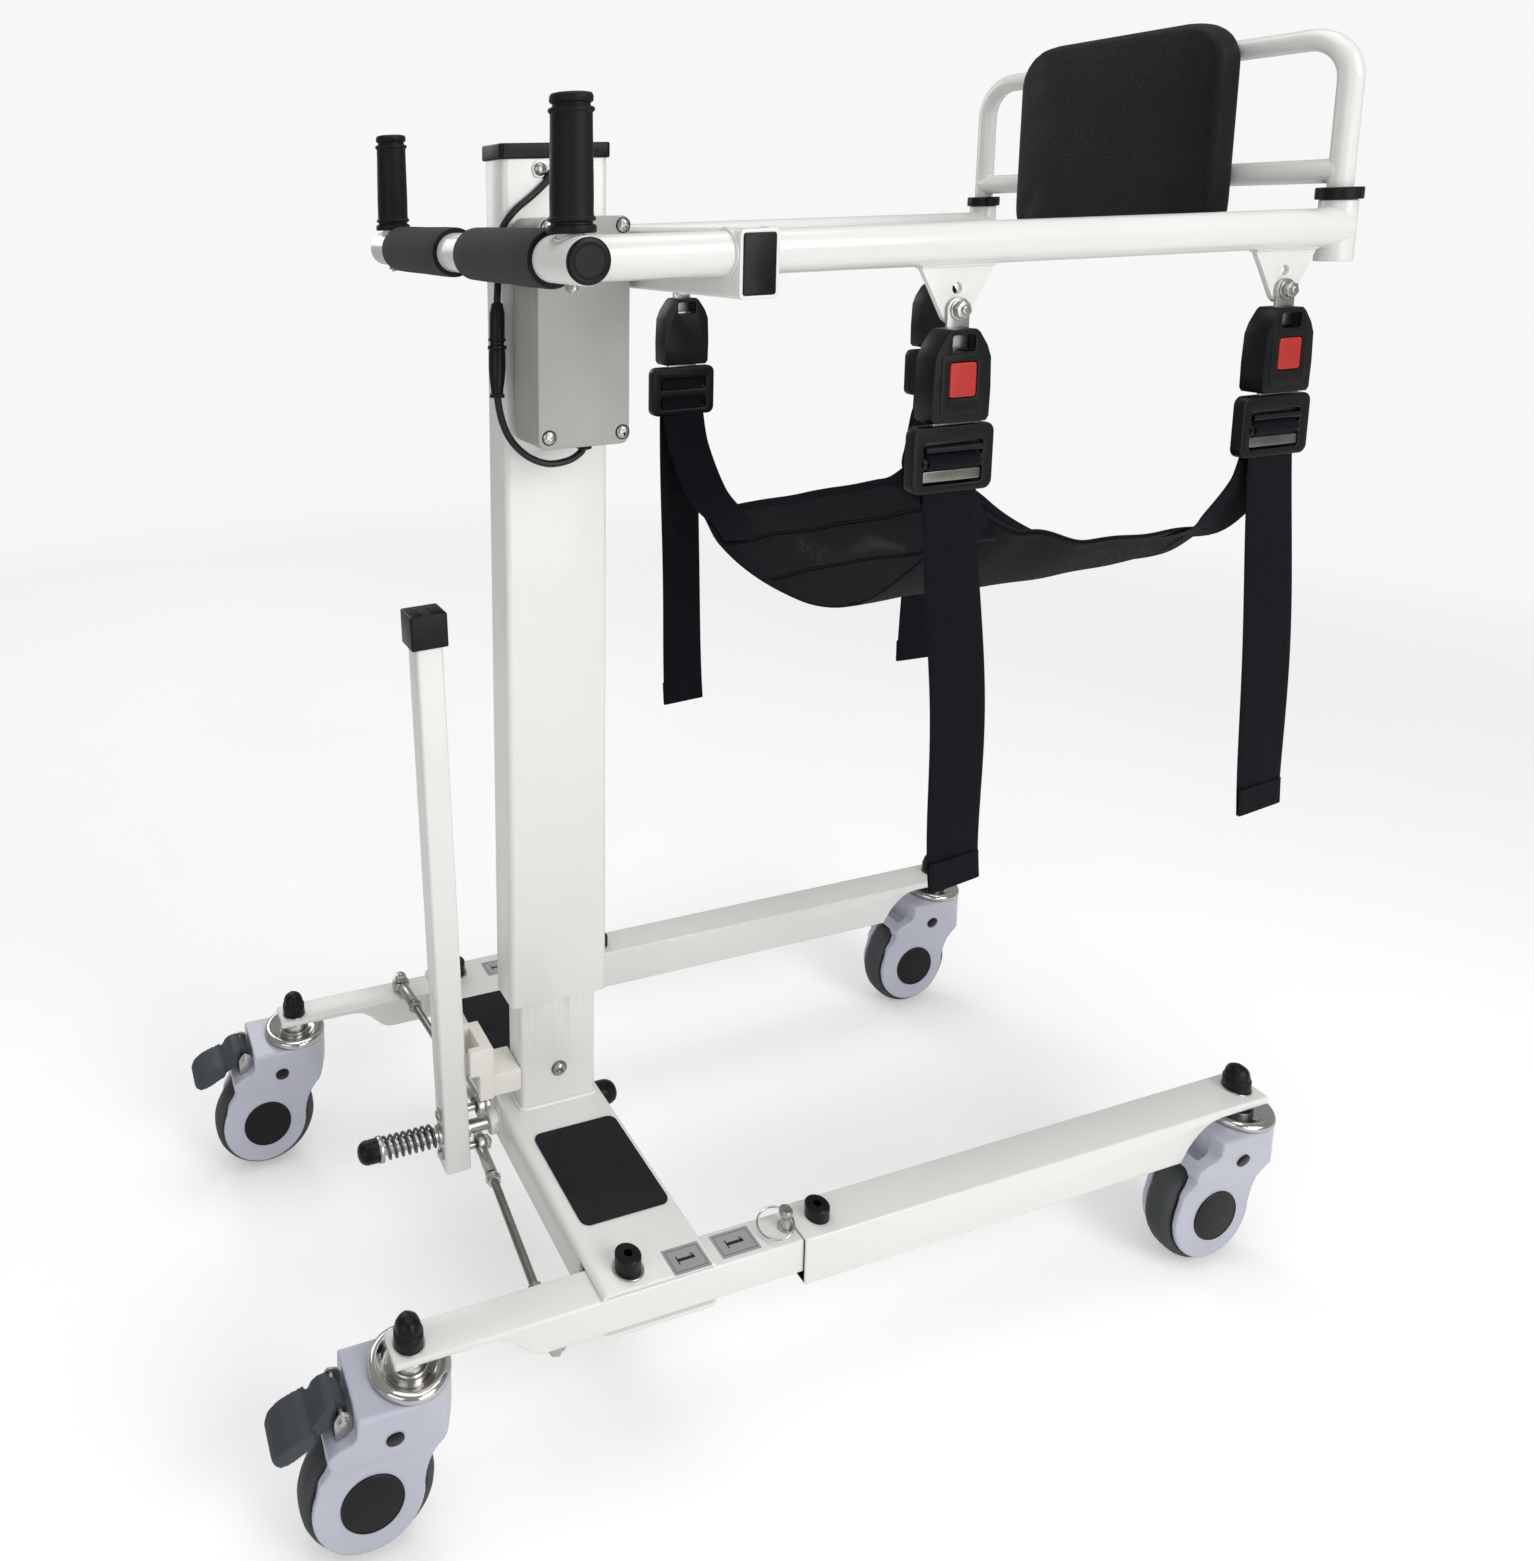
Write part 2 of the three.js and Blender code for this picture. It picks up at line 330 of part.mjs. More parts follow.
// ---------- outer column and what rides on it ----------
{
  let s = upZ(roundRect(-OUTER.a, OUTER.a, -OUTER.b, OUTER.b, 6), OUTER.z0, OUTER.z1);
  s = cut(s, upZ(roundRect(-OUTER.a + OUTER.wall, OUTER.a - OUTER.wall, -OUTER.b + OUTER.wall, OUTER.b - OUTER.wall, 3), OUTER.z0 - 1, OUTER.z1 + 1));
  put("outer_column", s, "frame");
  let c = upZ(roundRect(-OUTER.a - 2, OUTER.a + 2, -OUTER.b - 2, OUTER.b + 2, 5), OUTER.z1 + 0.3, OUTER.z1 + 4);
  c = c.add(upZ(roundRect(-OUTER.a - 2, OUTER.a + 2, -OUTER.b - 2, OUTER.b + 2, 5), OUTER.z1 - 11, OUTER.z1 + 0.5));
  c = cut(c, upZ(roundRect(-OUTER.a - 0.4, OUTER.a + 0.4, -OUTER.b - 0.4, OUTER.b + 0.4, 6), OUTER.z1 - 12, OUTER.z1 + 0.35));
  put("column_cap", c, "plastic");
  // linear actuator inside the columns: body below, push rod above
  put("actuator_body", cut(rod([0, 0, 202], [0, 0, 760], 14.6, 16), rod([0, 0, 262], [0, 0, 780], 8.6, 14), rod([0, -30, 240], [0, 30, 240], 4.5, 12)), "steel");
  put("actuator_rod", join(rod([0, 0, 270], [0, 0, 1222], 8, 14), box(-40, 40, -14, 14, 1200, 1222)), "steel");
  // control box and its lid
  let b = alongY(roundRect(-49.7, 45.2, 954.8, 1171.9, 8), -84, -OUTER.b - 0.3);
  b = cut(b, alongY(roundRect(-46.5, 42, 958, 1168.7, 6), -85, -OUTER.b - 4));
  for (const [px, pz] of [[-38.9, 966.4], [37.7, 966.4], [-38.9, 1162.9], [37.7, 1162.9]]) b = b.add(rod([px, -83.7, pz], [px, -OUTER.b - 1, pz], 7, 14));
  put("control_box", b, "abs");
  let l = alongY(roundRect(-49.7, 45.2, 954.8, 1171.9, 8), -90.3, -84.3);
  for (const [px, pz] of [[-38.9, 966.4], [37.7, 966.4], [-38.9, 1162.9], [37.7, 1162.9]]) l = cut(l, rod([px, -91, pz], [px, -88.3, pz], 5.2, 16));
  put("control_box_lid", l, "abs");
}
// power lead: leaves the column top, in-line connector, loop up into the box
{
  const path = [[-8, -28, 1209], [-26, -29, 1194], [-44, -30, 1181], [-56.5, -29.5, 1167], [-61, -25, 1152], [-61.4, -22, 1136], [-61.8, -24, 1118], [-66, -31, 1092], [-69, -37, 1060], [-72, -43, 1004], [-66, -50, 968], [-50, -56, 946], [-28, -59, 935], [-6, -60, 936], [8, -60, 943], [12, -60, 950.5]];
  let s = pipe(path, 3.5, 30, 6);
  s = join(s, rod([-66.4, -31.8, 1088], [-69.4, -37.8, 1050], 7.2, 10), rod([-69.2, -37.4, 1053], [-69.6, -38.2, 1047], 9.4, 10), rod([-69.4, -37.8, 1050], [-72, -43, 1004], 8, 10, 6.5));
  put("power_cable", s, "plastic");
}
// ---------- arm frame: two arms, rear bar, cross tube, sockets and hanger tabs ----------
{
  const bar = rod([ARM.rear, -BAR_Y, ARM.z], [ARM.rear, BAR_Y, ARM.z], BAR_R, 20);
  let s = bar, inner = rod([ARM.rear, -BAR_Y - 1, ARM.z], [ARM.rear, BAR_Y + 1, ARM.z], BAR_R - 2.6, 12);
  s = s.add(box(CROSS.x0, CROSS.x1, -CROSS.y, CROSS.y, CROSS.z0, CROSS.z1));
  inner = inner.add(box(CROSS.x0 + 3, CROSS.x1 - 3, -CROSS.y - 1, CROSS.y + 1, CROSS.z0 + 3, CROSS.z1 - 3));
  for (const k of [-1, 1]) {
    const Y = k * ARM.y;
    s = s.add(rod([ARM.rear, Y, ARM.z], [ARM.front, Y, ARM.z], ARM.r, 20));
    inner = inner.add(rod([ARM.rear, Y, ARM.z], [ARM.front - 20, Y, ARM.z], ARM.bore, 12));
    s = s.add(rod([ARM.front, Y, SOCKET.z0], [ARM.front, Y, SOCKET.z1], SOCKET.r, 16));
    // stub tubes that carry the upright hand grips
    s = s.add(rod([ARM.rear, k * 239.2, ARM.z + 8], [ARM.rear, k * 239.2, 1256], 12, 16));
    for (const hx of HANG_X) {
      const tab = [[hx - 40, 1130], [hx - 40, 1121], [hx - 37, 1116], [hx - 15, 1076], [hx - 9, 1069.5], [hx, 1067.5], [hx + 9, 1069.5], [hx + 15, 1076], [hx + 37, 1116], [hx + 40, 1121], [hx + 40, 1130]];
      s = s.add(alongY(shapeOf([...tab].reverse()), Y - 2.5, Y + 2.5));
    }
  }
  s = cut(s, inner);
  for (const k of [-1, 1]) {
    const Y = k * ARM.y;
    s = cut(s, rod([ARM.front, Y, SOCKET.z0 - 1], [ARM.front, Y, SOCKET.z1 + 1], SOCKET.bore, 16));
    for (const hx of HANG_X) s = cut(s, rod([hx, Y - 6, HOLE_Z], [hx, Y + 6, HOLE_Z], 5.2, 12), rod([hx, Y - 6, BOLT_Z], [hx, Y + 6, BOLT_Z], 4.6, 12));
  }
  put("arm_frame", s, "frame");
}
for (const [n, k] of [["left", 1], ["right", -1]]) {
  const a = k * 30, b = k * 206;
  put("foam_grip_" + n, cut(rod([ARM.rear, a, ARM.z], [ARM.rear, b, ARM.z], 25, 20), rod([ARM.rear, a - k * 2, ARM.z], [ARM.rear, b + k * 2, ARM.z], BAR_R + 0.8, 18)), "foam");
  put("hand_grip_" + n, turned([[0, 1268], [17, 1267], [17, 1260.5], [14.8, 1258.5], [18, 1255.5], [16.8, 1252], [17.2, 1172], [19, 1170], [16, 1167], [19.6, 1165.5], [19.6, 1160.6], [12.9, 1160.6], [12.9, 1256.4], [0, 1256.4]], ARM.rear, k * 239.2, 0, 16), "rubber");
}
// ---------- backrest: bent tube frame that plugs into the sockets, padded board ----------
{
  const { r, top, low, y, bend } = BACK, x = ARM.front, pts = [];
  const arc = (cy, a0, a1) => { for (let i = 0; i <= 6; i++) { const a = a0 + ((a1 - a0) * i) / 6; pts.push([x, cy + bend * Math.cos(a), top - bend + bend * Math.sin(a)]); } };
  pts.push([x, -y, 1112], [x, -y, 1200]);
  arc(-(y - bend), Math.PI, Math.PI / 2);
  pts.push([x, 0, top]);
  arc(y - bend, Math.PI / 2, 0);
  pts.push([x, y, 1200], [x, y, 1112]);
  class Path extends THREE.Curve {
    getPoint(t) {
      const f = t * (pts.length - 1), i = Math.min(pts.length - 2, Math.floor(f)), w = f - i;
      return new THREE.Vector3(...pts[i].map((c, q) => c + (pts[i + 1][q] - c) * w));
    }
    getPointAt(t) { return this.getPoint(t); }
    getTangentAt(t) {
      const e = 1e-4;
      return this.getPoint(Math.min(1, t + e)).sub(this.getPoint(Math.max(0, t - e))).normalize();
    }
  }
  const ring = new THREE.Shape();
  for (let i = 0; i < 14; i++) { const a = (Math.PI * i) / 7; i ? ring.lineTo(r * Math.cos(a), r * Math.sin(a)) : ring.moveTo(r, 0); }
  ring.closePath();
  let s = solid(new THREE.ExtrudeGeometry(ring, { steps: pts.length - 1, extrudePath: new Path(), bevelEnabled: false }));
  s = s.add(rod([x, -y, low], [x, y, low], 9.6, 20));
  for (const k of [-1, 1]) s = s.add(rod([x, k * y, SOCKET.z1 + 0.4], [x, k * y, SOCKET.z1 + 12.4], 19.6, 28));
  put("backrest_frame", s, "frame");
  const g = new THREE.ExtrudeGeometry(roundRect(-PAD.y + 5, PAD.y - 5, PAD.z0 + 5, PAD.z1 - 5, PAD.r - 5, 6), { depth: PAD.x1 - PAD.x0 - 10, bevelEnabled: true, bevelThickness: 5, bevelSize: 5, bevelSegments: 3, curveSegments: 6 });
  g.applyMatrix4(new THREE.Matrix4().set(0, 0, 1, 0, 1, 0, 0, 0, 0, 1, 0, 0, 0, 0, 0, 1));
  g.translate(PAD.x0 + 5, 0, 0);
  put("backrest_pad", solid(g), "leather");
}
// ---------- sling hangers: buckle, button, adjuster at each corner ----------
for (const [sn, k] of [["left", 1], ["right", -1]])
  HANG_X.forEach((hx, i) => {
    const n = (i ? "front_" : "rear_") + sn, Y = k * 234, w = BUCKLE.w / 2, o = k * 12;
    const yy = (a, b) => (k > 0 ? [Y + a, Y + b] : [Y - b, Y - a]);
    const [b0, b1] = yy(-12, 12);
    const outline = [[hx - w + 2, BUCKLE.z0], [hx + w - 2, BUCKLE.z0], [hx + w, BUCKLE.z0 + 3], [hx + w, 1040], [hx + 17, BUCKLE.z1], [hx - 17, BUCKLE.z1], [hx - w, 1040], [hx - w, BUCKLE.z0 + 3]];
    let s = alongY(shapeOf(outline), b0, b1);
    s = cut(s, box(hx - 10, hx + 10, b0 - 1, b1 + 1, 1048, 1056)); // window under the strap plate
    const [t0, t1] = yy(-2.4, 2.4);
    s = cut(s, box(hx - 21, hx + 21, t0, t1, BUCKLE.z0 - 1, BUCKLE.z0 + 24)); // slot for the tongue
    const [c0, c1] = yy(6, 13);
    s = cut(s, box(hx - 14.5, hx + 14.5, c0, c1, 1003, 1035)); // well for the button
    // strap plate and its bolt through the tab
    const [p0, p1] = yy(0.6, 3.6);
    s = s.add(box(hx - 12, hx + 12, p0, p1, 1059, 1090));
    const inner = yy(-9, 0), A = k > 0 ? [Y - 9, Y + 12] : [Y + 9, Y - 12];
    s = join(s, rod([hx, A[0], BOLT_Z], [hx, A[1], BOLT_Z], 4, 16), rod([hx, Y + k * 3, BOLT_Z], [hx, Y + k * 9.5, BOLT_Z], 8, 6), rod([hx, Y - k * 10, BOLT_Z], [hx, Y - k * 5.3, BOLT_Z], 7.4, 6));
    put("buckle_" + n, s, "plastic");
    const [q0, q1] = yy(8.6, 13.2);
    put("release_button_" + n, box(hx - 14.1, hx + 14.1, q0, q1, 1003.4, 1034.6), "button");
    // adjuster: frame with two windows and a middle bar, steel tongue on top
    const [a0, a1] = yy(-6, 6), m = ADJ.w / 2;
    let f = alongY(roundRect(hx - m, hx + m, ADJ.z0, ADJ.z1, 9), a0, a1);
    f = cut(f, box(hx - 32, hx + 32, a0 - 1, a1 + 1, 924, 938), box(hx - 32, hx + 32, a0 - 1, a1 + 1, 949, 960));
    const [u0, u1] = yy(-1.6, 1.6);
    f = f.add(box(hx - 20, hx + 20, u0, u1, ADJ.z1 - 5, BUCKLE.z0 + 18));
    put("adjuster_" + n, f, "plastic");
  });
// ---------- sling: seat panel hung between four straps, with hanging strap tails ----------
{
  const x0 = HANG_X[0] + 8, x1 = HANG_X[1] - 6;
  // height of the panel: a trough across, its long edges dipping between the straps
  const seatZ = (x, y) => {
    const e = Math.min(1, Math.abs(y) / 205), c = (2 * (x - x0)) / (x1 - x0) - 1;
    const edge = 838 + 34 * c * c;
    return SEAT_Z + 10 * c * c * (1 - e * e) + (edge - SEAT_Z) * Math.pow(e, 2.1);
  };
  let s = sheet(6, 12, (u, v) => { const x = x0 + (x1 - x0) * u, y = -205 + 410 * v; return [x, y, seatZ(x, y)]; }, 5);
  for (const k of [-1, 1])
    HANG_X.forEach((hx, i) => {
      const d = i ? -1 : 1, top = ADJ.z0 - 0.4;
      // strap from the adjuster down to the corner of the panel
      s = s.add(sheet(2, 5, (u, v) => {
        const a = hx + (u - 0.5) * STRAP_W, b = (i ? x1 - STRAP_W : x0) + STRAP_W * u, yb = 178, zb = seatZ(b, yb);
        const w = v * v * (3 - 2 * v);
        return [a + (b - a) * v, k * (235 + (yb - 235) * w), top + (zb - top) * v];
      }, 5));
      // tail hanging outside
      s = s.add(sheet(1, 3, (u, v) => [hx + 6 + (u - 0.5) * STRAP_W + 22 * v, k * (237 + 3 * Math.sin(Math.PI * v)), top + (TAIL_Z - top) * v], 4));
    });
  put("sling_seat", s, "webbing");
}

root.position.x = -ORIGIN_X;

export default root;
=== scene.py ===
import math
import random

import bmesh
import bpy
import numpy as np
from mathutils import Matrix, Quaternion, Vector

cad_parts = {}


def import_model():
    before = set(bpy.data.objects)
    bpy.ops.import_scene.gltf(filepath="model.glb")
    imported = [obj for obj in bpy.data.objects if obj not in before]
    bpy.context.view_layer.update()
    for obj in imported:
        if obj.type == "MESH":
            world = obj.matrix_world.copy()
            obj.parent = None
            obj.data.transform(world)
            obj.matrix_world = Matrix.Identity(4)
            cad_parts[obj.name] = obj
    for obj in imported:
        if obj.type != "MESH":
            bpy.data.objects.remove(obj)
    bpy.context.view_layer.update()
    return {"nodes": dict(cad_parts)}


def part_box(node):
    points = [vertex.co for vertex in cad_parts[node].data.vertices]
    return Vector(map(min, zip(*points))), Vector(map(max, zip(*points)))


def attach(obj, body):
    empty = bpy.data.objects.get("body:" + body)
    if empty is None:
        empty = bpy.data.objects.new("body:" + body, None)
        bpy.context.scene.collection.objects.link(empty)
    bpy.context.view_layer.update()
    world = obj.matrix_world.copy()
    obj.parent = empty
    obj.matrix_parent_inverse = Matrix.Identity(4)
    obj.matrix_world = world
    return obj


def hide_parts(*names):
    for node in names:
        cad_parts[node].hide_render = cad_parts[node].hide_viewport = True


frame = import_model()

random.seed(7)
D = bpy.data
SC = bpy.context.scene

# ------------------------------------------------------------------ reference places, from the frame
MM = 1000.0


def bx(n):
    a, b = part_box(n)
    return [c * MM for c in a], [c * MM for c in b]


(_a, _b) = bx("outer_column")
OX = (_a[0] + _b[0]) / 2  # column axis, mm, in the row frame


def lo(n, i):
    v = bx(n)[0][i]
    return v - OX if i == 0 else v


def hi(n, i):
    v = bx(n)[1][i]
    return v - OX if i == 0 else v


COL_A, COL_B = hi("outer_column", 0), hi("outer_column", 1)
COL_Z0, COL_Z1 = lo("outer_column", 2), hi("outer_column", 2)
INN_A, INN_B = hi("inner_column", 0), 19.0
BEAM_X0, BEAM_X1 = -66.0, 54.0
BEAM_X1_ = BEAM_X1 - 0.3
BEAM_Z0, BEAM_Z1, BEAM_Y = lo("base_crossbeam", 2), hi("base_crossbeam", 2), hi("base_crossbeam", 1)
LEG_Y = (lo("leg_left", 1) + hi("leg_left", 1)) / 2
STUB_H = hi("leg_left", 1) - LEG_Y
STUB_X0 = lo("leg_left", 0)
STUB_Z0, STUB_Z1 = 155.0, 190.5
SLV_X0, SLV_X1 = lo("front_leg_left", 0), hi("front_leg_left", 0)
SLV_H = hi("front_leg_left", 1) - LEG_Y
SLV_Z0, SLV_Z1 = lo("front_leg_left", 2), 193.0
WR = hi("wheel_rear_left", 2) / 2
TRAIL = 43.4
REAR_X = (lo("caster_stem_rear_left", 0) + hi("caster_stem_rear_left", 0)) / 2
FRONT_X = (lo("caster_stem_front_left", 0) + hi("caster_stem_front_left", 0)) / 2
ARM_Y, ARM_Z, ARM_R = 231.6, 1139.4, 19.0
BAR_X = (lo("foam_grip_left", 0) + hi("foam_grip_left", 0)) / 2
BAR_Y, BAR_R = hi("arm_frame", 1), 19.6
ARM_X1 = 747.5
SHAFT_Z = (lo("lever_bush", 2) + hi("lever_bush", 2)) / 2
LEVER_X, LEVER_W, LEAN = -119.0, 29.4, 0.0325
LEVER_Z0, LEVER_TOP = 138.0, 782.0
PIVOT_X, ROD_X = -30.0, -105.0
GRIP_Y = (lo("hand_grip_left", 1) + hi("hand_grip_left", 1)) / 2
HANG = [(lo("buckle_rear_left", 0) + hi("buckle_rear_left", 0)) / 2, (lo("buckle_front_left", 0) + hi("buckle_front_left", 0)) / 2]
HOLE_Z, BOLT_Z = 1099.8, 1081.0
SIDES = (("left", 1), ("right", -1))


# ------------------------------------------------------------------ materials
class Mat:
    def __init__(self, name):
        self.m = D.materials.new(name)
        self.m.use_nodes = True
        self.t = self.m.node_tree
        self.t.nodes.clear()
        self.out = self.t.nodes.new("ShaderNodeOutputMaterial")
        self.p = self.t.nodes.new("ShaderNodeBsdfPrincipled")
        self.t.links.new(self.p.outputs[0], self.out.inputs[0])
        self.tc = self.t.nodes.new("ShaderNodeTexCoord")

    def n(self, kind, **k):
        x = self.t.nodes.new(kind)
        for a, b in k.items():
            if a.startswith("i_"):
                x.inputs[a[2:].replace("_", " ")].default_value = b
            else:
                setattr(x, a, b)
        return x

    def l(self, a, b):
        self.t.links.new(a, b)

    def set(self, **k):
        for a, b in k.items():
            self.p.inputs[a.replace("_", " ")].default_value = b
        return self

    def coord(self, scale=(1, 1, 1), src="Object"):
        mp = self.n("ShaderNodeMapping")
        mp.inputs["Scale"].default_value = scale
        self.l(self.tc.outputs[src], mp.inputs["Vector"])
        return mp.outputs[0]

    def noise(self, scale, detail=3, rough=0.5, vec=None):
        x = self.n("ShaderNodeTexNoise", i_Scale=scale, i_Detail=detail, i_Roughness=rough)
        self.l(vec or self.coord(), x.inputs["Vector"])
        return x.outputs["Fac"]

    def ramp(self, fac, stops):
        r = self.n("ShaderNodeValToRGB")
        e = r.color_ramp.elements
        while len(e) < len(stops):
            e.new(0.5)
        for i, (p, c) in enumerate(stops):
            e[i].position = p
            e[i].color = c if len(c) == 4 else (*c, 1)
        self.l(fac, r.inputs[0])
        return r.outputs[0]

    def math(self, op, a, b=None, c=None):
        x = self.n("ShaderNodeMath", operation=op)
        for i, v in enumerate((a, b, c)):
            if v is None:
                continue
            if isinstance(v, (int, float)):
                x.inputs[i].default_value = v
            else:
                self.l(v, x.inputs[i])
        return x.outputs[0]

    def mix(self, fac, a, b):
        x = self.n("ShaderNodeMix", data_type="RGBA")
        if isinstance(fac, (int, float)):
            x.inputs[0].default_value = fac
        else:
            self.l(fac, x.inputs[0])
        for i, v in ((6, a), (7, b)):
            if isinstance(v, (tuple, list)):
                x.inputs[i].default_value = (*v, 1) if len(v) == 3 else v
            else:
                self.l(v, x.inputs[i])
        return x.outputs[2]

    def bump(self, height, dist, strength=1.0):
        b = self.n("ShaderNodeBump", i_Distance=dist, i_Strength=strength)
        self.l(height, b.inputs["Height"])
        self.l(b.outputs[0], self.p.inputs["Normal"])
        return b

    def map(self, v, a, b, c, d):
        x = self.n("ShaderNodeMapRange")
        for i, q in enumerate((a, b, c, d)):
            x.inputs[1 + i].default_value = q
        self.l(v, x.inputs[0])
        return x.outputs[0]


def powder(name, worn=False):
    m = Mat(name)
    tone = m.noise(2.6, 2)
    col = m.ramp(tone, [(0.3, (0.775, 0.772, 0.742)), (0.7, (0.82, 0.817, 0.792))])
    smudge = m.noise(14, 5, 0.65)
    if worn:
        st = m.noise(1.0, 4, 0.7, m.coord((160, 160, 7)))
        band = m.n("ShaderNodeSeparateXYZ")
        m.l(m.tc.outputs["Object"], band.inputs[0])
        fade = m.map(band.outputs[2], 0.255, 0.325, 0.0, 1.0)
        k = m.math("MULTIPLY", m.map(st, 0.50, 0.78, 0.0, 0.55), fade)
        col = m.mix(k, col, (0.30, 0.29, 0.28))
    grime = m.map(m.noise(70, 6, 0.7), 0.66, 0.85, 0.0, 0.10)
    col = m.mix(grime, col, (0.55, 0.53, 0.50))
    m.l(col, m.p.inputs["Base Color"])
    m.l(m.map(smudge, 0.3, 0.75, 0.22, 0.28), m.p.inputs["Roughness"])
    m.set(Coat_Weight=0.35, Coat_Roughness=0.12, IOR=1.5)
    peel = m.noise(420, 2, 0.4)
    m.bump(peel, 0.00022, 0.35)
    return m.m


def plastic(name, a, b, rough=(0.35, 0.5), scale=900, dist=0.00012, spec=0.5, coat=0.0, speck=0.0):
    m = Mat(name)
    t = m.noise(9, 4, 0.6)
    col = m.ramp(t, [(0.3, a), (0.7, b)])
    if speck:
        col = m.mix(m.map(m.noise(1400, 2), 0.60, 0.72, 0, speck), col, tuple(min(1, c * 1.9 + 0.02) for c in a))
    m.l(col, m.p.inputs["Base Color"])
    m.l(m.map(m.noise(30, 5, 0.6), 0.3, 0.7, *rough), m.p.inputs["Roughness"])
    m.set(Specular_IOR_Level=spec, Coat_Weight=coat)
    m.bump(m.noise(scale, 3, 0.6), dist, 0.6)
    return m.m


def metal(name, a, b, rough=(0.18, 0.34), scale=(1, 1, 1), s=60, dist=0.00005, m_=1.0):
    m = Mat(name)
    v = m.coord(scale)
    col = m.ramp(m.noise(s * 0.4, 5, 0.6, v), [(0.3, a), (0.7, b)])
    m.l(col, m.p.inputs["Base Color"])
    m.l(m.map(m.noise(s, 6, 0.7, v), 0.25, 0.75, *rough), m.p.inputs["Roughness"])
    m.set(Metallic=m_)
    m.bump(m.noise(s * 9, 4, 0.6, v), dist, 0.5)
    return m.m


M = {}
M["frame"] = powder("white_powder_coat")
M["worn"] = powder("white_powder_coat_rubbed", True)
M["housing"] = plastic("lilac_grey_plastic", (0.465, 0.475, 0.56), (0.50, 0.51, 0.595), (0.14, 0.22), 700, 0.00003, 0.5, 0.4)
M["tyre"] = plastic("tyre_rubber", (0.045, 0.050, 0.054), (0.060, 0.065, 0.07), (0.5, 0.68), 500, 0.0003, 0.3, 0, 0.10)
M["pedal"] = plastic("slate_plastic", (0.036, 0.043, 0.053), (0.048, 0.056, 0.068), (0.45, 0.6), 900, 0.00015, 0.4)
M["steel"] = metal("zinc_steel", (0.40, 0.395, 0.375), (0.58, 0.575, 0.555), (0.2, 0.40))
M["bronze"] = metal("aged_steel", (0.20, 0.19, 0.17), (0.34, 0.325, 0.30), (0.22, 0.4))
M["chrome"] = metal("polished_steel", (0.50, 0.485, 0.465), (0.64, 0.625, 0.60), (0.06, 0.15))
M["dark_steel"] = metal("dark_steel", (0.09, 0.09, 0.095), (0.16, 0.16, 0.16), (0.28, 0.42))
M["foam"] = plastic("foam_sleeve", (0.050, 0.050, 0.050), (0.066, 0.066, 0.066), (0.85, 0.95), 650, 0.0005, 0.15, 0, 0.3)
M["rubber"] = plastic("grip_rubber", (0.0022, 0.0026, 0.0038), (0.0055, 0.006, 0.0078), (0.45, 0.6), 480, 0.0004, 0.25)
M["abs"] = plastic("grey_abs", (0.36, 0.36, 0.335), (0.40, 0.40, 0.375), (0.34, 0.46), 1100, 0.0001, 0.5)
M["nylon"] = plastic("white_nylon", (0.78, 0.76, 0.70), (0.83, 0.81, 0.76), (0.35, 0.5), 500, 0.0001, 0.5)
M["grit"] = plastic("anti_slip_sheet", (0.010, 0.011, 0.013), (0.016, 0.0175, 0.0195), (0.75, 0.92), 1300, 0.0006, 0.22, 0, 0.35)
M["button"] = plastic("red_button", (0.40, 0.014, 0.009), (0.47, 0.019, 0.012), (0.35, 0.48), 800, 0.0001, 0.5)
M["black"] = plastic("black_plastic", (0.0020, 0.0022, 0.0027), (0.0042, 0.0046, 0.0054), (0.30, 0.42), 700, 0.00010, 0.24)
M["cable"] = plastic("black_lead", (0.004, 0.004, 0.0045), (0.007, 0.007, 0.0075), (0.35, 0.45), 400, 0.0001, 0.4)
M["label"] = plastic("grey_label", (0.33, 0.33, 0.345), (0.37, 0.37, 0.385), (0.3, 0.4), 300, 0.00003, 0.5)
M["ink"] = plastic("label_ink", (0.01, 0.01, 0.01), (0.013, 0.013, 0.013), (0.4, 0.5), 300, 0.00003, 0.4)


def webbing():
    m = Mat("webbing")
    uv = m.coord((1, 1, 1), "UV")  # u across, v along, metres
    sp = m.n("ShaderNodeSeparateXYZ")
    m.l(uv, sp.inputs[0])
    u, v = sp.outputs[0], sp.outputs[1]
    rib = m.math("SINE", m.math("MULTIPLY", u, 2 * math.pi / 0.0030))
    zig = m.math("MULTIPLY", m.math("PINGPONG", m.math("MULTIPLY", u, 1 / 0.012), 1.0), 0.006)
    weft = m.math("SINE", m.math("MULTIPLY", m.math("ADD", v, zig), 2 * math.pi / 0.0018))
    h = m.math("ADD", m.math("MULTIPLY", rib, 0.34), m.math("MULTIPLY", weft, 0.5))
    fuzz = m.noise(2200, 2)
    col = m.ramp(m.map(h, -1, 1, 0, 1), [(0.0, (0.0009, 0.0012, 0.0024)), (1.0, (0.0036, 0.0048, 0.0088))])
    col = m.mix(m.map(fuzz, 0.5, 0.8, 0, 0.15), col, (0.010, 0.012, 0.019))
    m.l(col, m.p.inputs["Base Color"])
    m.set(Roughness=0.78, Sheen_Weight=0.02, Sheen_Roughness=0.5, Specular_IOR_Level=0.12)
    m.bump(h, 0.0003, 0.6)
    return m.m


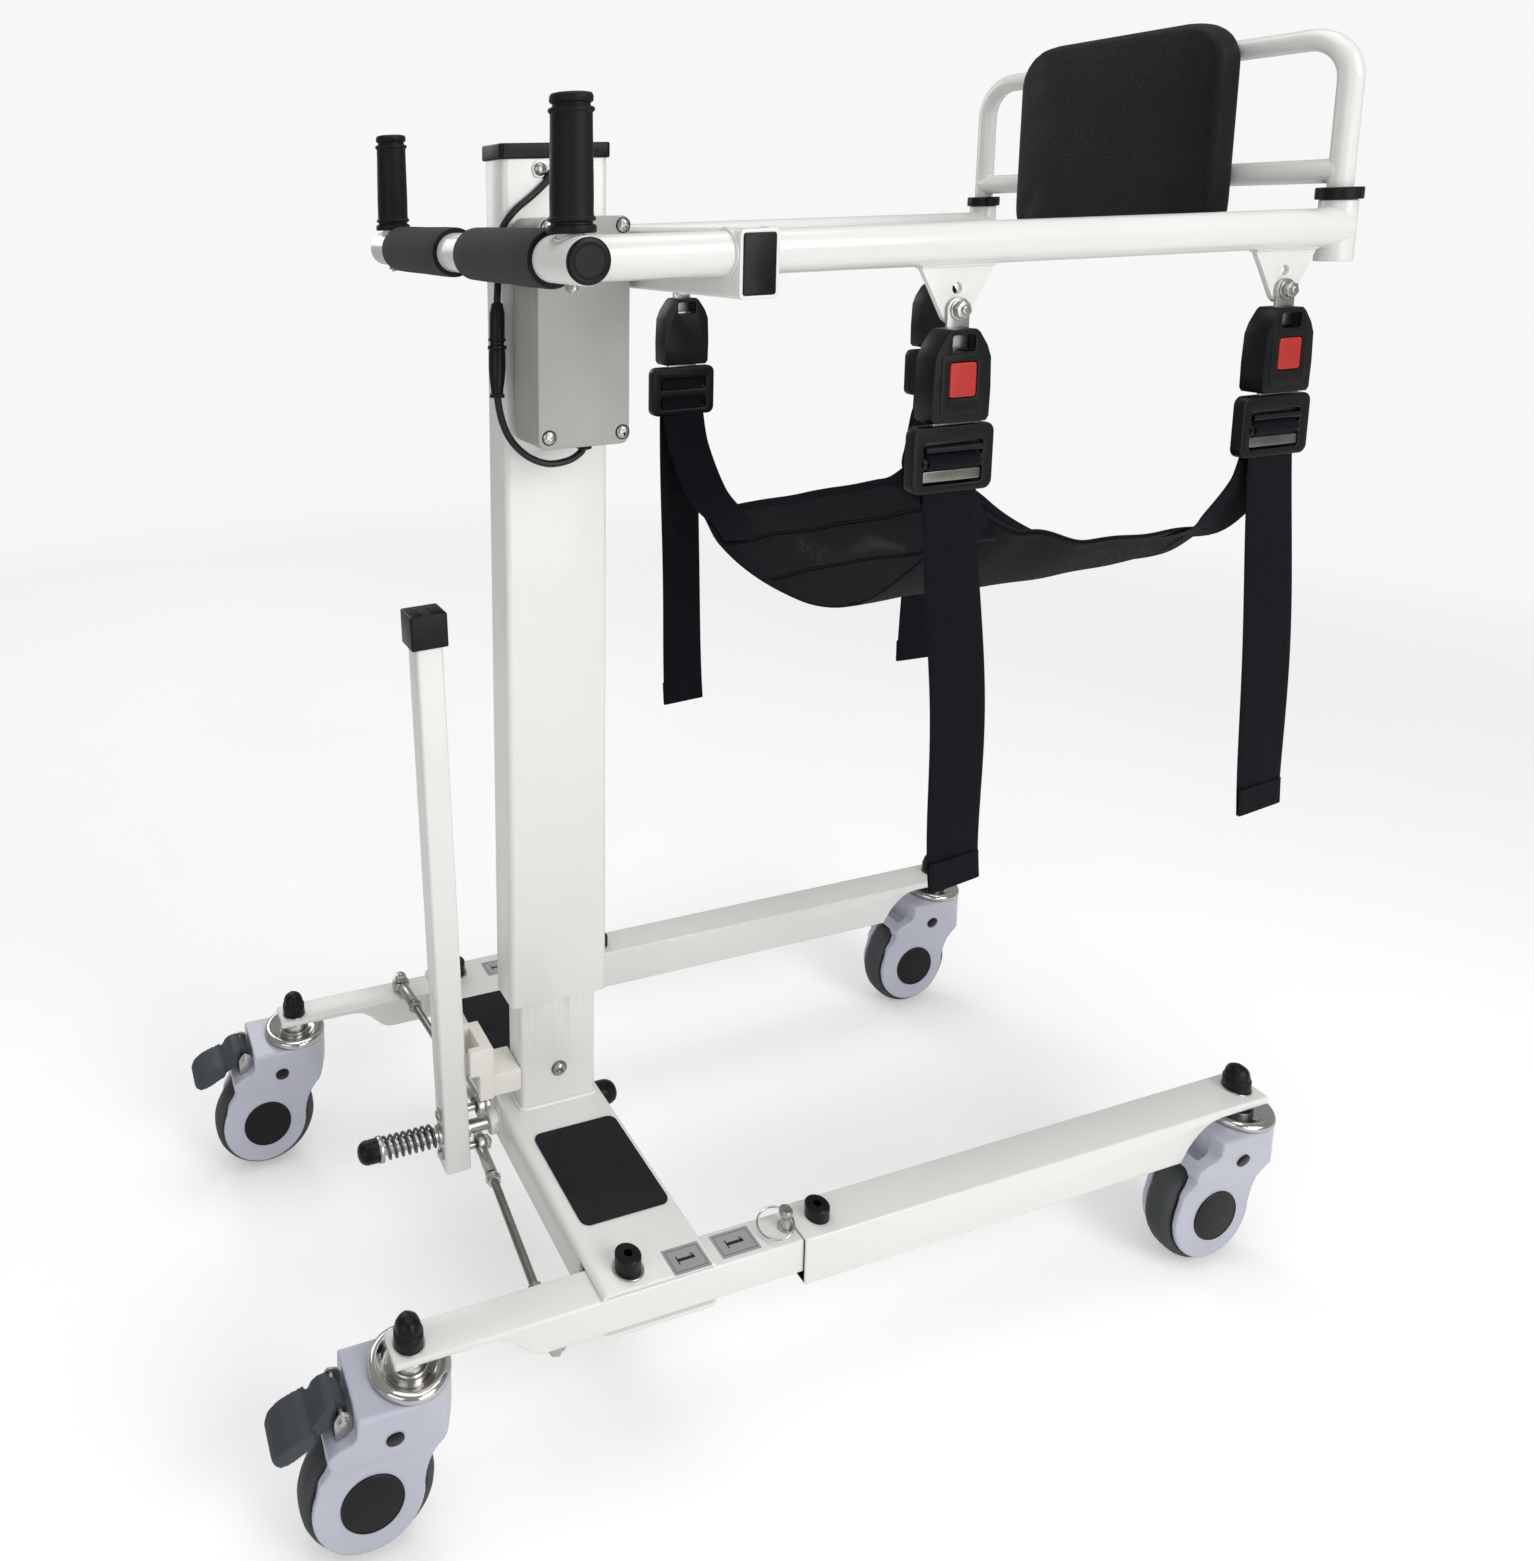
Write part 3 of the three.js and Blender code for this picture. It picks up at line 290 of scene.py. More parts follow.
def netting():
    m = Mat("mesh_fabric")
    uv = m.coord((1, 1, 1), "UV")
    sp = m.n("ShaderNodeSeparateXYZ")
    m.l(uv, sp.inputs[0])
    u, v = sp.outputs[0], sp.outputs[1]
    p = 0.0042
    gu = m.math("SINE", m.math("MULTIPLY", m.math("ADD", u, m.math("MULTIPLY", m.math("FLOOR", m.math("DIVIDE", v, p)), p / 2)), 2 * math.pi / p))
    gv = m.math("SINE", m.math("MULTIPLY", v, 2 * math.pi / p))
    h = m.math("MULTIPLY", m.math("ABSOLUTE", gu), m.math("ABSOLUTE", gv))
    holes = m.math("GREATER_THAN", h, 0.955)
    col = m.ramp(h, [(0.0, (0.010, 0.0115, 0.015)), (0.6, (0.0022, 0.0026, 0.004))])
    col = m.mix(m.map(m.noise(700, 3), 0.45, 0.8, 0, 0.3), col, (0.014, 0.016, 0.02))
    m.l(col, m.p.inputs["Base Color"])
    m.set(Roughness=0.85, Sheen_Weight=0.04, Sheen_Roughness=0.4, Specular_IOR_Level=0.12)
    m.bump(m.math("MULTIPLY", h, -1.0), 0.0007, 0.9)
    tr = m.n("ShaderNodeBsdfTransparent")
    mx = m.n("ShaderNodeMixShader")
    m.l(holes, mx.inputs[0])
    m.l(m.p.outputs[0], mx.inputs[1])
    m.l(tr.outputs[0], mx.inputs[2])
    m.l(mx.outputs[0], m.out.inputs[0])
    return m.m


def upholstery():
    m = Mat("black_upholstery")
    vo = m.n("ShaderNodeTexVoronoi", i_Scale=620.0, feature="DISTANCE_TO_EDGE")
    m.l(m.coord(), vo.inputs["Vector"])
    cell = m.map(vo.outputs[0], 0.0, 0.12, 0.0, 1.0)
    t = m.noise(5, 4, 0.6)
    m.l(m.ramp(t, [(0.3, (0.0022, 0.0026, 0.0045)), (0.7, (0.0042, 0.0048, 0.0078))]), m.p.inputs["Base Color"])
    m.l(m.map(m.noise(22, 5, 0.6), 0.3, 0.7, 0.42, 0.56), m.p.inputs["Roughness"])
    m.set(Specular_IOR_Level=0.22, Sheen_Weight=0.0)
    m.bump(m.math("ADD", cell, m.math("MULTIPLY", m.noise(60, 4), 1.5)), 0.00022, 0.55)
    return m.m


M["web"] = webbing()
M["net"] = netting()
M["leather"] = upholstery()


# ------------------------------------------------------------------ shapes, mm from the column axis: lists of (vertices, faces)
def prism(poly, axis, a, b):
    n = len(poly)
    put = {"z": lambda p, h: (p[0], p[1], h), "y": lambda p, h: (p[0], h, p[1]), "x": lambda p, h: (h, p[0], p[1])}[axis]
    v = [put(p, a) for p in poly] + [put(p, b) for p in poly]
    f = [tuple(range(n))[::-1], tuple(range(n, 2 * n))] + [(i, (i + 1) % n, n + (i + 1) % n, n + i) for i in range(n)]
    return v, f


def rrect(x0, x1, y0, y1, r, seg=6):
    p = []
    for cx, cy, a in ((x1 - r, y0 + r, -90), (x1 - r, y1 - r, 0), (x0 + r, y1 - r, 90), (x0 + r, y0 + r, 180)):
        for i in range(seg + 1):
            t = math.radians(a + 90 * i / seg)
            p.append((cx + r * math.cos(t), cy + r * math.sin(t)))
    return p


def frame_of(d):
    d = Vector(d).normalized()
    u = d.orthogonal().normalized()
    return u, d.cross(u)


def cyl(a, b, r, n=48, r2=None, cap=True):
    A, B = Vector(a), Vector(b)
    u, w = frame_of(B - A)
    r2 = r if r2 is None else r2
    v = [tuple(A + u * r * math.cos(2 * math.pi * i / n) + w * r * math.sin(2 * math.pi * i / n)) for i in range(n)]
    v += [tuple(B + u * r2 * math.cos(2 * math.pi * i / n) + w * r2 * math.sin(2 * math.pi * i / n)) for i in range(n)]
    f = [(i, (i + 1) % n, n + (i + 1) % n, n + i) for i in range(n)]
    if cap:
        f += [tuple(range(n))[::-1], tuple(range(n, 2 * n))]
    return v, f


def lathe(prof, c, axis=(0, 0, 1), n=56):
    C, ax = Vector(c), Vector(axis).normalized()
    u, w = frame_of(ax)
    v, f = [], []
    for r, h in prof:
        for i in range(n):
            t = 2 * math.pi * i / n
            v.append(tuple(C + ax * h + (u * math.cos(t) + w * math.sin(t)) * max(r, 1e-3)))
    for k in range(len(prof) - 1):
        for i in range(n):
            j = (i + 1) % n
            f.append((k * n + i, k * n + j, (k + 1) * n + j, (k + 1) * n + i))
    return v, f


def sweep(pts, r, n=20, closed=False, cap=True, rr=None):
    P = [Vector(p) for p in pts]
    m = len(P)
    T = []
    for i in range(m):
        a = P[(i - 1) % m] if (closed or i) else P[0]
        b = P[(i + 1) % m] if (closed or i < m - 1) else P[-1]
        T.append((b - a).normalized())
    u, _ = frame_of(T[0])
    v, f = [], []
    for i in range(m):
        if i:
            q = T[i - 1].rotation_difference(T[i])
            u = q @ u
        u = (u - T[i] * u.dot(T[i])).normalized()
        w = T[i].cross(u)
        k = r if rr is None else rr(i / (m - 1))
        for j in range(n):
            t = 2 * math.pi * j / n
            v.append(tuple(P[i] + (u * math.cos(t) + w * math.sin(t)) * k))
    for i in range(m if closed else m - 1):
        a, b = i * n, ((i + 1) % m) * n
        off = 0
        if closed and i == m - 1:  # best match of the rings
            d = [(Vector(v[b + o]) - Vector(v[a])).length for o in range(n)]
            off = d.index(min(d))
        for j in range(n):
            f.append((a + j, a + (j + 1) % n, b + (j + 1 + off) % n, b + (j + off) % n))
    if cap and not closed:
        f += [tuple(range(n))[::-1], tuple(range((m - 1) * n, m * n))]
    return v, f


def spline(pts, k=12):
    P = [Vector(p) for p in pts]
    out = []
    for i in range(len(P) - 1):
        a, b, c, d = P[max(0, i - 1)], P[i], P[i + 1], P[min(len(P) - 1, i + 2)]
        for j in range(k):
            t = j / k
            out.append(0.5 * ((2 * b) + (c - a) * t + (2 * a - 5 * b + 4 * c - d) * t * t + (3 * b - a - 3 * c + d) * t ** 3))
    out.append(P[-1])
    return out


def obj(name, parts, mat, body=None, bevel=0.0, seg=3, smooth=35, reps=(), limit=30, uv=None):
    if isinstance(parts, tuple):
        parts = [parts]
    V, F = [], []
    for v, f in parts:
        o = len(V)
        V += [((x + OX) / MM, y / MM, z / MM) for x, y, z in v]
        F += [tuple(i + o for i in q) for q in f]
    me = D.meshes.new(name)
    me.from_pydata(V, [], F)
    bm = bmesh.new()
    bm.from_mesh(me)
    bmesh.ops.remove_doubles(bm, verts=bm.verts, dist=1e-7)
    bmesh.ops.recalc_face_normals(bm, faces=bm.faces)
    bm.to_mesh(me)
    bm.free()
    o = D.objects.new(name, me)
    SC.collection.objects.link(o)
    me.materials.append(M[mat])
    finish_shading(o, smooth)
    if bevel:
        b = o.modifiers.new("edge", "BEVEL")
        b.width, b.segments, b.limit_method, b.angle_limit = bevel / MM, seg, "ANGLE", math.radians(limit)
        b.harden_normals = False
        b.use_clamp_overlap = True
        apply(o)
        finish_shading(o, smooth)
    if reps:
        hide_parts(*([reps] if isinstance(reps, str) else reps))
    if body:
        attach(o, body)
    return o


def finish_shading(o, angle):
    for p in o.data.polygons:
        p.use_smooth = True
    o.data.set_sharp_from_angle(angle=math.radians(angle))


def apply(o):
    dg = bpy.context.evaluated_depsgraph_get()
    dg.update()
    me = D.meshes.new_from_object(o.evaluated_get(dg), preserve_all_data_layers=True, depsgraph=dg)
    o.modifiers.clear()
    old = o.data
    o.data = me
    me.name = o.name


def boolean(o, cutters, op="DIFFERENCE"):
    for k, c in enumerate(cutters):
        m = o.modifiers.new("b%d" % k, "BOOLEAN")
        m.operation, m.object, m.solver = op, c, "EXACT"
    apply(o)
    for c in cutters:
        D.objects.remove(c)
    return o


def tool(parts):
    o = obj("tool", parts, "steel")
    o.hide_render = True
    return o


def carve(name, parts, mat, cutters, body, bevel=0.6, seg=2, smooth=35, reps=(), limit=35):
    o = obj(name, parts, mat, None)
    boolean(o, [tool(c) for c in cutters])
    if bevel:
        b = o.modifiers.new("edge", "BEVEL")
        b.width, b.segments, b.limit_method, b.angle_limit = bevel / MM, seg, "ANGLE", math.radians(limit)
        apply(o)
    finish_shading(o, smooth)
    if reps:
        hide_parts(*([reps] if isinstance(reps, str) else reps))
    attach(o, body)
    return o


def bead(name, pts, r, body, closed=True, mat="frame"):
    """A weld bead: a thin rope with the ripple of a hand weld."""
    P = [Vector(p) for p in pts]
    n = len(P)
    V, F = sweep([tuple(p) for p in P], r, 8, closed=closed, rr=(lambda t: r * (1 + 0.16 * math.sin(t * n * 2.1) + 0.08 * math.sin(t * n * 5.3))) if not closed else None)
    if closed:
        V = [(x + 0.18 * math.sin(i * 0.9), y + 0.18 * math.cos(i * 1.3), z + 0.25 * math.sin(i * 1.7)) for i, (x, y, z) in enumerate(V)]
    return obj(name, (V, F), mat, body, smooth=80)


def ringpts(c, axis, r, n=40):
    u, w = frame_of(axis)
    C = Vector(c)
    return [tuple(C + (u * math.cos(2 * math.pi * i / n) + w * math.sin(2 * math.pi * i / n)) * r) for i in range(n)]


def hexcap(name, c, z0, z1, r, body, mat="black", socket=5.0, reps=(), chamf=1.2):
    """Round cap screw head with a hexagon socket."""
    x, y = c
    prof = [(0, z0), (r - 0.6, z0), (r, z0 + 0.6), (r, z1 - chamf), (r - chamf, z1), (0, z1)]
    h = [(x + socket * math.cos(math.pi * i / 3), y + socket * math.sin(math.pi * i / 3)) for i in range(6)]
    o = obj(name, lathe(prof, (x, y, 0)), mat)
    boolean(o, [tool(prism(h, "z", z1 - 7, z1 + 3))])
    finish_shading(o, 35)
    if reps:
        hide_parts(reps)
    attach(o, body)
    return o


def allen(name, c, axis, r, body, mat="steel"):
    """Button head socket screw on its washer."""
    prof = [(0, 0), (r * 1.25, 0), (r * 1.25, r * 0.16), (r, r * 0.18), (r * 0.98, r * 0.3), (r * 0.82, r * 0.52), (r * 0.45, r * 0.66), (r * 0.42, r * 0.34), (0, r * 0.34)]
    return obj(name, lathe(prof, c, axis, 40), mat, body, smooth=40)


def nut(name, c, axis, r, h, body, mat="steel", stud=None):
    A, ax = Vector(c), Vector(axis).normalized()
    u, w = frame_of(ax)
    poly = [A + (u * math.cos(math.pi * i / 3) + w * math.sin(math.pi * i / 3)) * r for i in range(6)]
    v = [tuple(p) for p in poly] + [tuple(p + ax * h) for p in poly]
    f = [tuple(range(6))[::-1], tuple(range(6, 12))] + [(i, (i + 1) % 6, 6 + (i + 1) % 6, 6 + i) for i in range(6)]
    parts = [(v, f)]
    if stud:
        parts.append(lathe([(0, 0), (stud, 0), (stud, h + 1.6), (stud - 0.8, h + 2.4), (0, h + 2.4)], c, axis, 24))
    parts.append(lathe([(0, -1.2), (r * 1.15, -1.2), (r * 1.15, 0.0), (0, 0.0)], c, axis, 36))
    return obj(name, parts, mat, body, bevel=0.5, seg=2)


# ------------------------------------------------------------------ base
def base():
    b = "base"
    o = carve("base_crossbeam_body", prism(rrect(BEAM_X0, BEAM_X1, BEAM_Z0, BEAM_Z1, 7), "y", -BEAM_Y, BEAM_Y), "frame",
              [prism(rrect(BEAM_X0 + 3.6, BEAM_X1 - 3.6, BEAM_Z0 + 3.6, BEAM_Z1 - 3.6, 4), "y", -BEAM_Y - 5, BEAM_Y + 5)]
              + [prism([(BEAM_X0 - 5, BEAM_Z0 + 5), (BEAM_X1 + 5, BEAM_Z0 + 5), (BEAM_X1 + 5, BEAM_Z1 - 6), (BEAM_X0 - 5, BEAM_Z1 - 6)], "y", k * 208 if k > 0 else -BEAM_Y - 5, BEAM_Y + 5 if k > 0 else -208) for k in (-1, 1)],
              b, 0.8, 2, reps="base_crossbeam")
    obj("shaft_boss", [cyl((BEAM_X0 - 12, 0, SHAFT_Z), (BEAM_X0 + 1, 0, SHAFT_Z), 13)], "frame", b, 1.0)
    bead("shaft_boss_weld", ringpts((BEAM_X0 - 0.3, 0, SHAFT_Z), (1, 0, 0), 13.6, 46), 1.7, b)
    obj("inner_column_body", prism(rrect(-INN_A, INN_A, -INN_B, INN_B, 5), "z", BEAM_Z1 + 0.3, hi("inner_column", 2)), "worn", b, 0.4, reps="inner_column")
    p = [(x, y, BEAM_Z1 + 0.9) for x, y in rrect(-INN_A - 0.8, INN_A + 0.8, -INN_B - 0.8, INN_B + 0.8, 5.5, 5)]
    dense = []
    for i in range(len(p)):
        a, c = Vector(p[i]), Vector(p[(i + 1) % len(p)])
        k = max(1, int((c - a).length / 3))
        dense += [tuple(a.lerp(c, j / k)) for j in range(k)]
    bead("column_weld", dense, 2.4, b)
    allen("column_bolt_right", (0, -INN_B - 0.2, 240), (0, -1, 0), 7.2, b)
    nut("column_bolt_nut", (0, INN_B + 1.4, 240), (0, 1, 0), 7.6, 5, b, stud=3.8)
    obj("stop_block_foot", prism([(-82, 224), (-INN_A - 0.3, 224), (-INN_A - 0.3, 249), (-82, 249)], "y", -19, 22), "nylon", b, 1.4, reps="stop_block")
    carve("stop_block_head", prism(rrect(-105.6, -79, 226, 287, 1.0, 2), "y", -24, 24), "nylon",
          [prism([(-112, 215), (-92, 215), (-92, 300), (-112, 300)], "y", -15.6, 15.6), prism([(-112, 215), (-95, 215), (-95, 257), (-112, 257)], "y", -30, 30)], b, 1.3, 3)
    for s, k in SIDES:
        y0, y1 = lo("foot_pad_" + s, 1), hi("foot_pad_" + s, 1)
        obj("foot_pad_sheet_" + s, prism(rrect(lo("foot_pad_" + s, 0), hi("foot_pad_" + s, 0), y0, y1, 9, 8), "z", BEAM_Z1 + 0.2, BEAM_Z1 + 2.0), "grit", b, 0.5, 2, reps="foot_pad_" + s)
        y = k * LEG_Y
        obj("pivot_washer_" + s, lathe([(0, 197.7), (14.4, 197.7), (15, 198.1), (15, 199.1), (14.4, 199.6), (0, 199.6)], (PIVOT_X, y, 0)), "steel", b)
        hexcap("pivot_cap_" + s, (PIVOT_X, y), 199.6, 215, 12.4, b, socket=4.6, reps="pivot_bolt_" + s)
        nut("pivot_nut_" + s, (PIVOT_X, y, 149.0), (0, 0, -1), 9.5, 6, b, stud=5)
        obj("pivot_pin_" + s, cyl((PIVOT_X, y, 150), (PIVOT_X, y, 198), 5.9, 32), "steel", b)
        # grey label with a generic figure one
        sticker("beam_label_" + s, 8, 47, y - 21, y + 7 if k < 0 else y + 7, BEAM_Z1, b)
    # shaft, collar, end cap, spring
    obj("lever_shaft_rod", cyl((-213, 0, SHAFT_Z), (BEAM_X0 + 3, 0, SHAFT_Z), 7), "steel", b, 0.5, reps="lever_shaft")
    obj("shaft_end_knob", lathe([(0, 0), (11.4, 0), (12, 0.8), (12, 10.5), (11.6, 12.2), (12.2, 13), (11.6, 17), (9.8, 20.6), (7.0, 23), (3.4, 24.2), (0, 24.4)], (-204, 0, SHAFT_Z), (-1, 0, 0), 48), "black", b)
    obj("shaft_front_cap", lathe([(0, 0), (12.4, 0), (13, 0.8), (13, 11), (12.5, 12.4), (13, 13), (12.2, 17.4), (10.2, 21.4), (7.2, 24), (3.4, 25.4), (0, 25.7)], (BEAM_X1_, 0, SHAFT_Z), (1, 0, 0), 48), "black", b)
    obj("shaft_collar", lathe([(7, 0), (13, 0), (13.4, 1), (13.4, 4), (13, 5), (7, 5)], (-206, 0, SHAFT_Z), (1, 0, 0), 40), "steel", b)
    pts = []
    turns, x0, x1 = 8.0, -198.5, -139.5
    for i in range(int(turns * 22) + 1):
        a = 2 * math.pi * i / 22
        pts.append((x0 + (x1 - x0) * i / (turns * 22), 10.6 * math.cos(a), SHAFT_Z + 10.6 * math.sin(a)))
    obj("shaft_spring_coil", sweep(pts, 1.6, 10), "dark_steel", b, smooth=60, reps="shaft_spring")


def sticker(name, x0, x1, y0, y1, z, body):
    obj(name, prism(rrect(x0, x1, y0, y1, 1.0, 3), "z", z + 0.02, z + 0.28), "label", body, smooth=30)
    t, g = z + 0.30, 2.6
    cx, cy = (x0 + x1) / 2, (y0 + y1) / 2
    parts = []
    for a, b_, c, d in ((x0 + g, x1 - g, y0 + g, y0 + g + 0.5), (x0 + g, x1 - g, y1 - g - 0.5, y1 - g), (x0 + g, x0 + g + 0.5, y0 + g, y1 - g), (x1 - g - 0.5, x1 - g, y0 + g, y1 - g)):
        parts.append(prism([(a, c), (b_, c), (b_, d), (a, d)], "z", t - 0.1, t))
    # figure one, its top towards +X
    parts.append(prism([(cx - 9, cy - 1.6), (cx + 9, cy - 1.6), (cx + 9, cy + 1.6), (cx - 9, cy + 1.6)], "z", t - 0.1, t))
    parts.append(prism([(cx - 9.6, cy - 4.6), (cx - 8.2, cy - 4.6), (cx - 8.2, cy + 4.6), (cx - 9.6, cy + 4.6)], "z", t - 0.1, t))
    parts.append(prism([(cx + 9, cy - 1.6), (cx + 9, cy + 1.6), (cx + 6.4, cy + 4.8), (cx + 5.6, cy + 3.8)], "z", t - 0.1, t))
    obj(name + "_print", parts, "ink", body, smooth=30)


# ------------------------------------------------------------------ lever
def lever():
    rot = Matrix.Rotation(-LEAN, 3, "Y")

    def lean(part):
        v, f = part
        out = []
        for p in v:
            q = rot @ Vector(p)
            out.append((q.x + LEVER_X, q.y, q.z + SHAFT_Z))
        return out, f

    h = LEVER_W / 2
    o = carve("lever_tube", lean(prism(rrect(-h, h, -h, h, 3.5), "z", LEVER_Z0 - SHAFT_Z, LEVER_TOP - SHAFT_Z - 20)), "frame",
              [lean(prism(rrect(-h + 2.5, h - 2.5, -h + 2.5, h - 2.5, 1.5), "z", LEVER_Z0 - SHAFT_Z - 5, LEVER_Z0 - SHAFT_Z + 12)), cyl((-160, 0, SHAFT_Z), (-90, 0, SHAFT_Z), 10.3, 40)], "lever", 0.5, 2, reps="lever_bar")
    cap = lean(prism(rrect(-20, 20, -17.5, 17.5, 2.6), "z", LEVER_TOP - SHAFT_Z - 37, LEVER_TOP - SHAFT_Z - 1.2))
    obj("lever_cap_body", cap, "black", "lever", 1.4)
    ribs = [lean(prism([(-17 + 0.0 * i, y - 0.55), (17, y - 0.55), (17, y + 0.55), (-17, y + 0.55)], "z", LEVER_TOP - SHAFT_Z - 1.6, LEVER_TOP - SHAFT_Z)) for i, y in enumerate([-13 + 2.17 * j for j in range(13)])]
    ribs = [lean(prism([(x - 0.6, -14), (x + 0.6, -14), (x + 0.6, 14), (x - 0.6, 14)], "z", LEVER_TOP - SHAFT_Z - 1.6, LEVER_TOP - SHAFT_Z - 0.2)) for x in [-16 + 2.46 * j for j in range(14) if abs(j - 6.5) > 1.6]]
    obj("lever_cap_ribs", ribs, "black", "lever", 0.3, 2)
    for d, n in ((1, "upper"), (-1, "lower")):
        z = SHAFT_Z + d * 24
        obj("lever_stud_" + n, [cyl((LEVER_X - 18, 0, z), (-77, 0, z), 4, 24)], "steel", "lever", 0.4, 2)
        nut("lever_nut_" + n, (-81.4, 0, z), (1, 0, 0), 7.4, 4.6, "lever", stud=3.6)
        allen("lever_screw_" + n, (LEVER_X - 15.2 - d * 0.8, 0, z), (-1, 0, 0), 5.6, "lever")
    obj("lever_bush_sleeve", lathe([(7.3, 0), (10, 0), (10, 36), (7.3, 36), (7.3, 0)], (-137.5, 0, SHAFT_Z), (1, 0, 0), 40), "steel", "lever_slider", reps="lever_bush")


# ------------------------------------------------------------------ legs
def legs():
    zp = STUB_Z1 - 6.5
    for s, k in SIDES:
        b, y = "leg_" + s, k * LEG_Y
        under = [(-178, zp), (-168, zp - 1.0), (-160, zp - 3.5), (-152, zp - 9), (-144, zp - 17), (-136, zp - 24.5), (-129, zp - 28.0), (-121, STUB_Z0)]
        poly = [(STUB_X0, STUB_Z1), (STUB_X0, zp)] + under + [(262, STUB_Z0), (262, STUB_Z1)]
        o = obj("rear_leg_tube_" + s, prism(poly, "y", y - STUB_H, y + STUB_H), "frame", b, 2.0, 3, limit=50, reps="leg_" + s)
        sticker("leg_label_" + s, 64, 106, y - 13, y + 14, STUB_Z1, b)
        # stud of the tie rod
        if k > 0:
            nut("rod_ball_nut_" + s, (ROD_X, y, 206.6), (0, 0, 1), 7.2, 5, b, stud=3.8)
            obj("rod_ball_stud_" + s, cyl((ROD_X, y, STUB_Z1 - 1), (ROD_X, y, 207), 4, 24), "steel", b)
        else:
            nut("rod_ball_nut_" + s, (ROD_X, y, 138.4), (0, 0, -1), 7.2, 5, b, stud=3.8)
            obj("rod_ball_stud_" + s, cyl((ROD_X, y, 138), (ROD_X, y, STUB_Z0 + 1), 4, 24), "steel", b)
        zt = SLV_Z1 - 9
        arch = [(622, SLV_Z0), (627, SLV_Z0 + 8), (632, SLV_Z0 + 16), (638, SLV_Z0 + 23), (646, SLV_Z0 + 30), (655, zt - 5), (665, zt - 1.6), (676, zt)]
        poly = [(SLV_X0, SLV_Z1), (SLV_X0, SLV_Z0)] + arch + [(SLV_X1, zt), (SLV_X1, SLV_Z1)]
        o = carve("front_leg_tube_" + s, prism(poly, "y", y - SLV_H, y + SLV_H), "frame",
                  [prism(rrect(y - SLV_H + 2.7, y + SLV_H - 2.7, SLV_Z0 + 2.7, SLV_Z1 - 2.2, 2), "x", SLV_X0 - 5, SLV_X0 + 112)], b, 2.2, 3, reps="front_leg_" + s, limit=50)
        obj("sleeve_shim_" + s, prism([(y - 17, 147), (y + 17, 147), (y + 17, 154), (y - 17, 154)], "x", SLV_X0 + 6, SLV_X0 + 90), "nylon", b)
        hexcap("clamp_screw_" + s, (177, y), SLV_Z1, SLV_Z1 + 14, 11.8, b, socket=4.4)
        obj("clamp_screw_end_" + s, lathe([(0, 0), (6.5, 0), (7, 1), (7, 5), (5, 8), (0, 8.6)], (177, y, SLV_Z0), (0, 0, -1), 32), "black", b)
        # quick release pin and ring
        p = "lock_pin_" + s
        obj("pin_" + s, lathe([(0, 151), (3.4, 151), (4.9, 154), (4.9, 190.7), (7.6, 190.8), (7.6, 192.6), (5.4, 193.2), (5.2, 196), (4.6, 197), (4.6, 202), (5.4, 203), (6.5, 207), (6.5, 210), (5.6, 211.3), (0, 211.5)], (141, y, 0), n=36), "steel", p, reps="lock_pin_" + s)
        t = Matrix.Rotation(-0.22, 3, "Y")
        pts = []
        for i in range(72):
            a = 2 * math.pi * i / 72
            q = t @ Vector((17.5 * math.cos(a), 17.5 * math.sin(a), 0.55 * math.sin(a)))
            pts.append((129.4 + q.x, y + q.y, 198.6 + q.z))
        obj("pin_ring_" + s, [sweep(pts, 1.05, 10, closed=True)], "chrome", p, smooth=70)
        # tie rod
        r = "tie_rod_" + s
        zl, zg = SHAFT_Z + k * 24, (198.5 if k > 0 else 146.0)
        A, B = Vector((-88, 0, zl)), Vector((ROD_X, y, zg))
        d = (B - A).normalized()
        bar = [cyl(A + d * 36, B - d * 36, 4.6, 28)]
        obj("rod_bar_" + s, bar, "bronze", r)
        obj("rod_end_lever_" + s, [lathe([(7.6, -4), (11.2, -4), (12, -3), (12, 3), (11.2, 4), (7.6, 4), (7.6, -4)], A, (1, 0, 0), 40), cyl(A + d * 9, A + d * 44, 6.0, 32, 6.8)], "steel", r, 0.6, 2, reps="tie_rod_" + s)
        obj("rod_end_leg_" + s, [lathe([(4.4, -5.5), (9.6, -5.5), (11, -3.6), (11, 3.6), (9.6, 5.5), (4.4, 5.5), (4.4, -5.5)], B, (0, 0, 1), 40), cyl(B - d * 9, B - d * 44, 7.2, 32, 6.8)], "steel", r, 0.6, 2)
        for nm, c in (("a", A + d * 50), ("b", B - d * 50)):
            nut("rod_locknut_%s_%s" % (nm, s), c, d if nm == "a" else -d, 7.6, 5, r)


# ------------------------------------------------------------------ casters
def smooth_solid(name, parts, mat, cutters=(), isect=(), voxel=1.6, it=4, adds=()):
    o = obj(name, parts, mat)
    for a in adds:
        boolean(o, [tool(a)], "UNION")
    for c in isect:
        boolean(o, [tool(c)], "INTERSECT")
    if cutters:
        boolean(o, [tool(c) for c in cutters])
    r = o.modifiers.new("r", "REMESH")
    r.mode, r.voxel_size, r.use_smooth_shade = "VOXEL", voxel / MM, True
    sm = o.modifiers.new("s", "SMOOTH")
    sm.factor, sm.iterations = 0.5, it
    apply(o)
    finish_shading(o, 60)
    return o


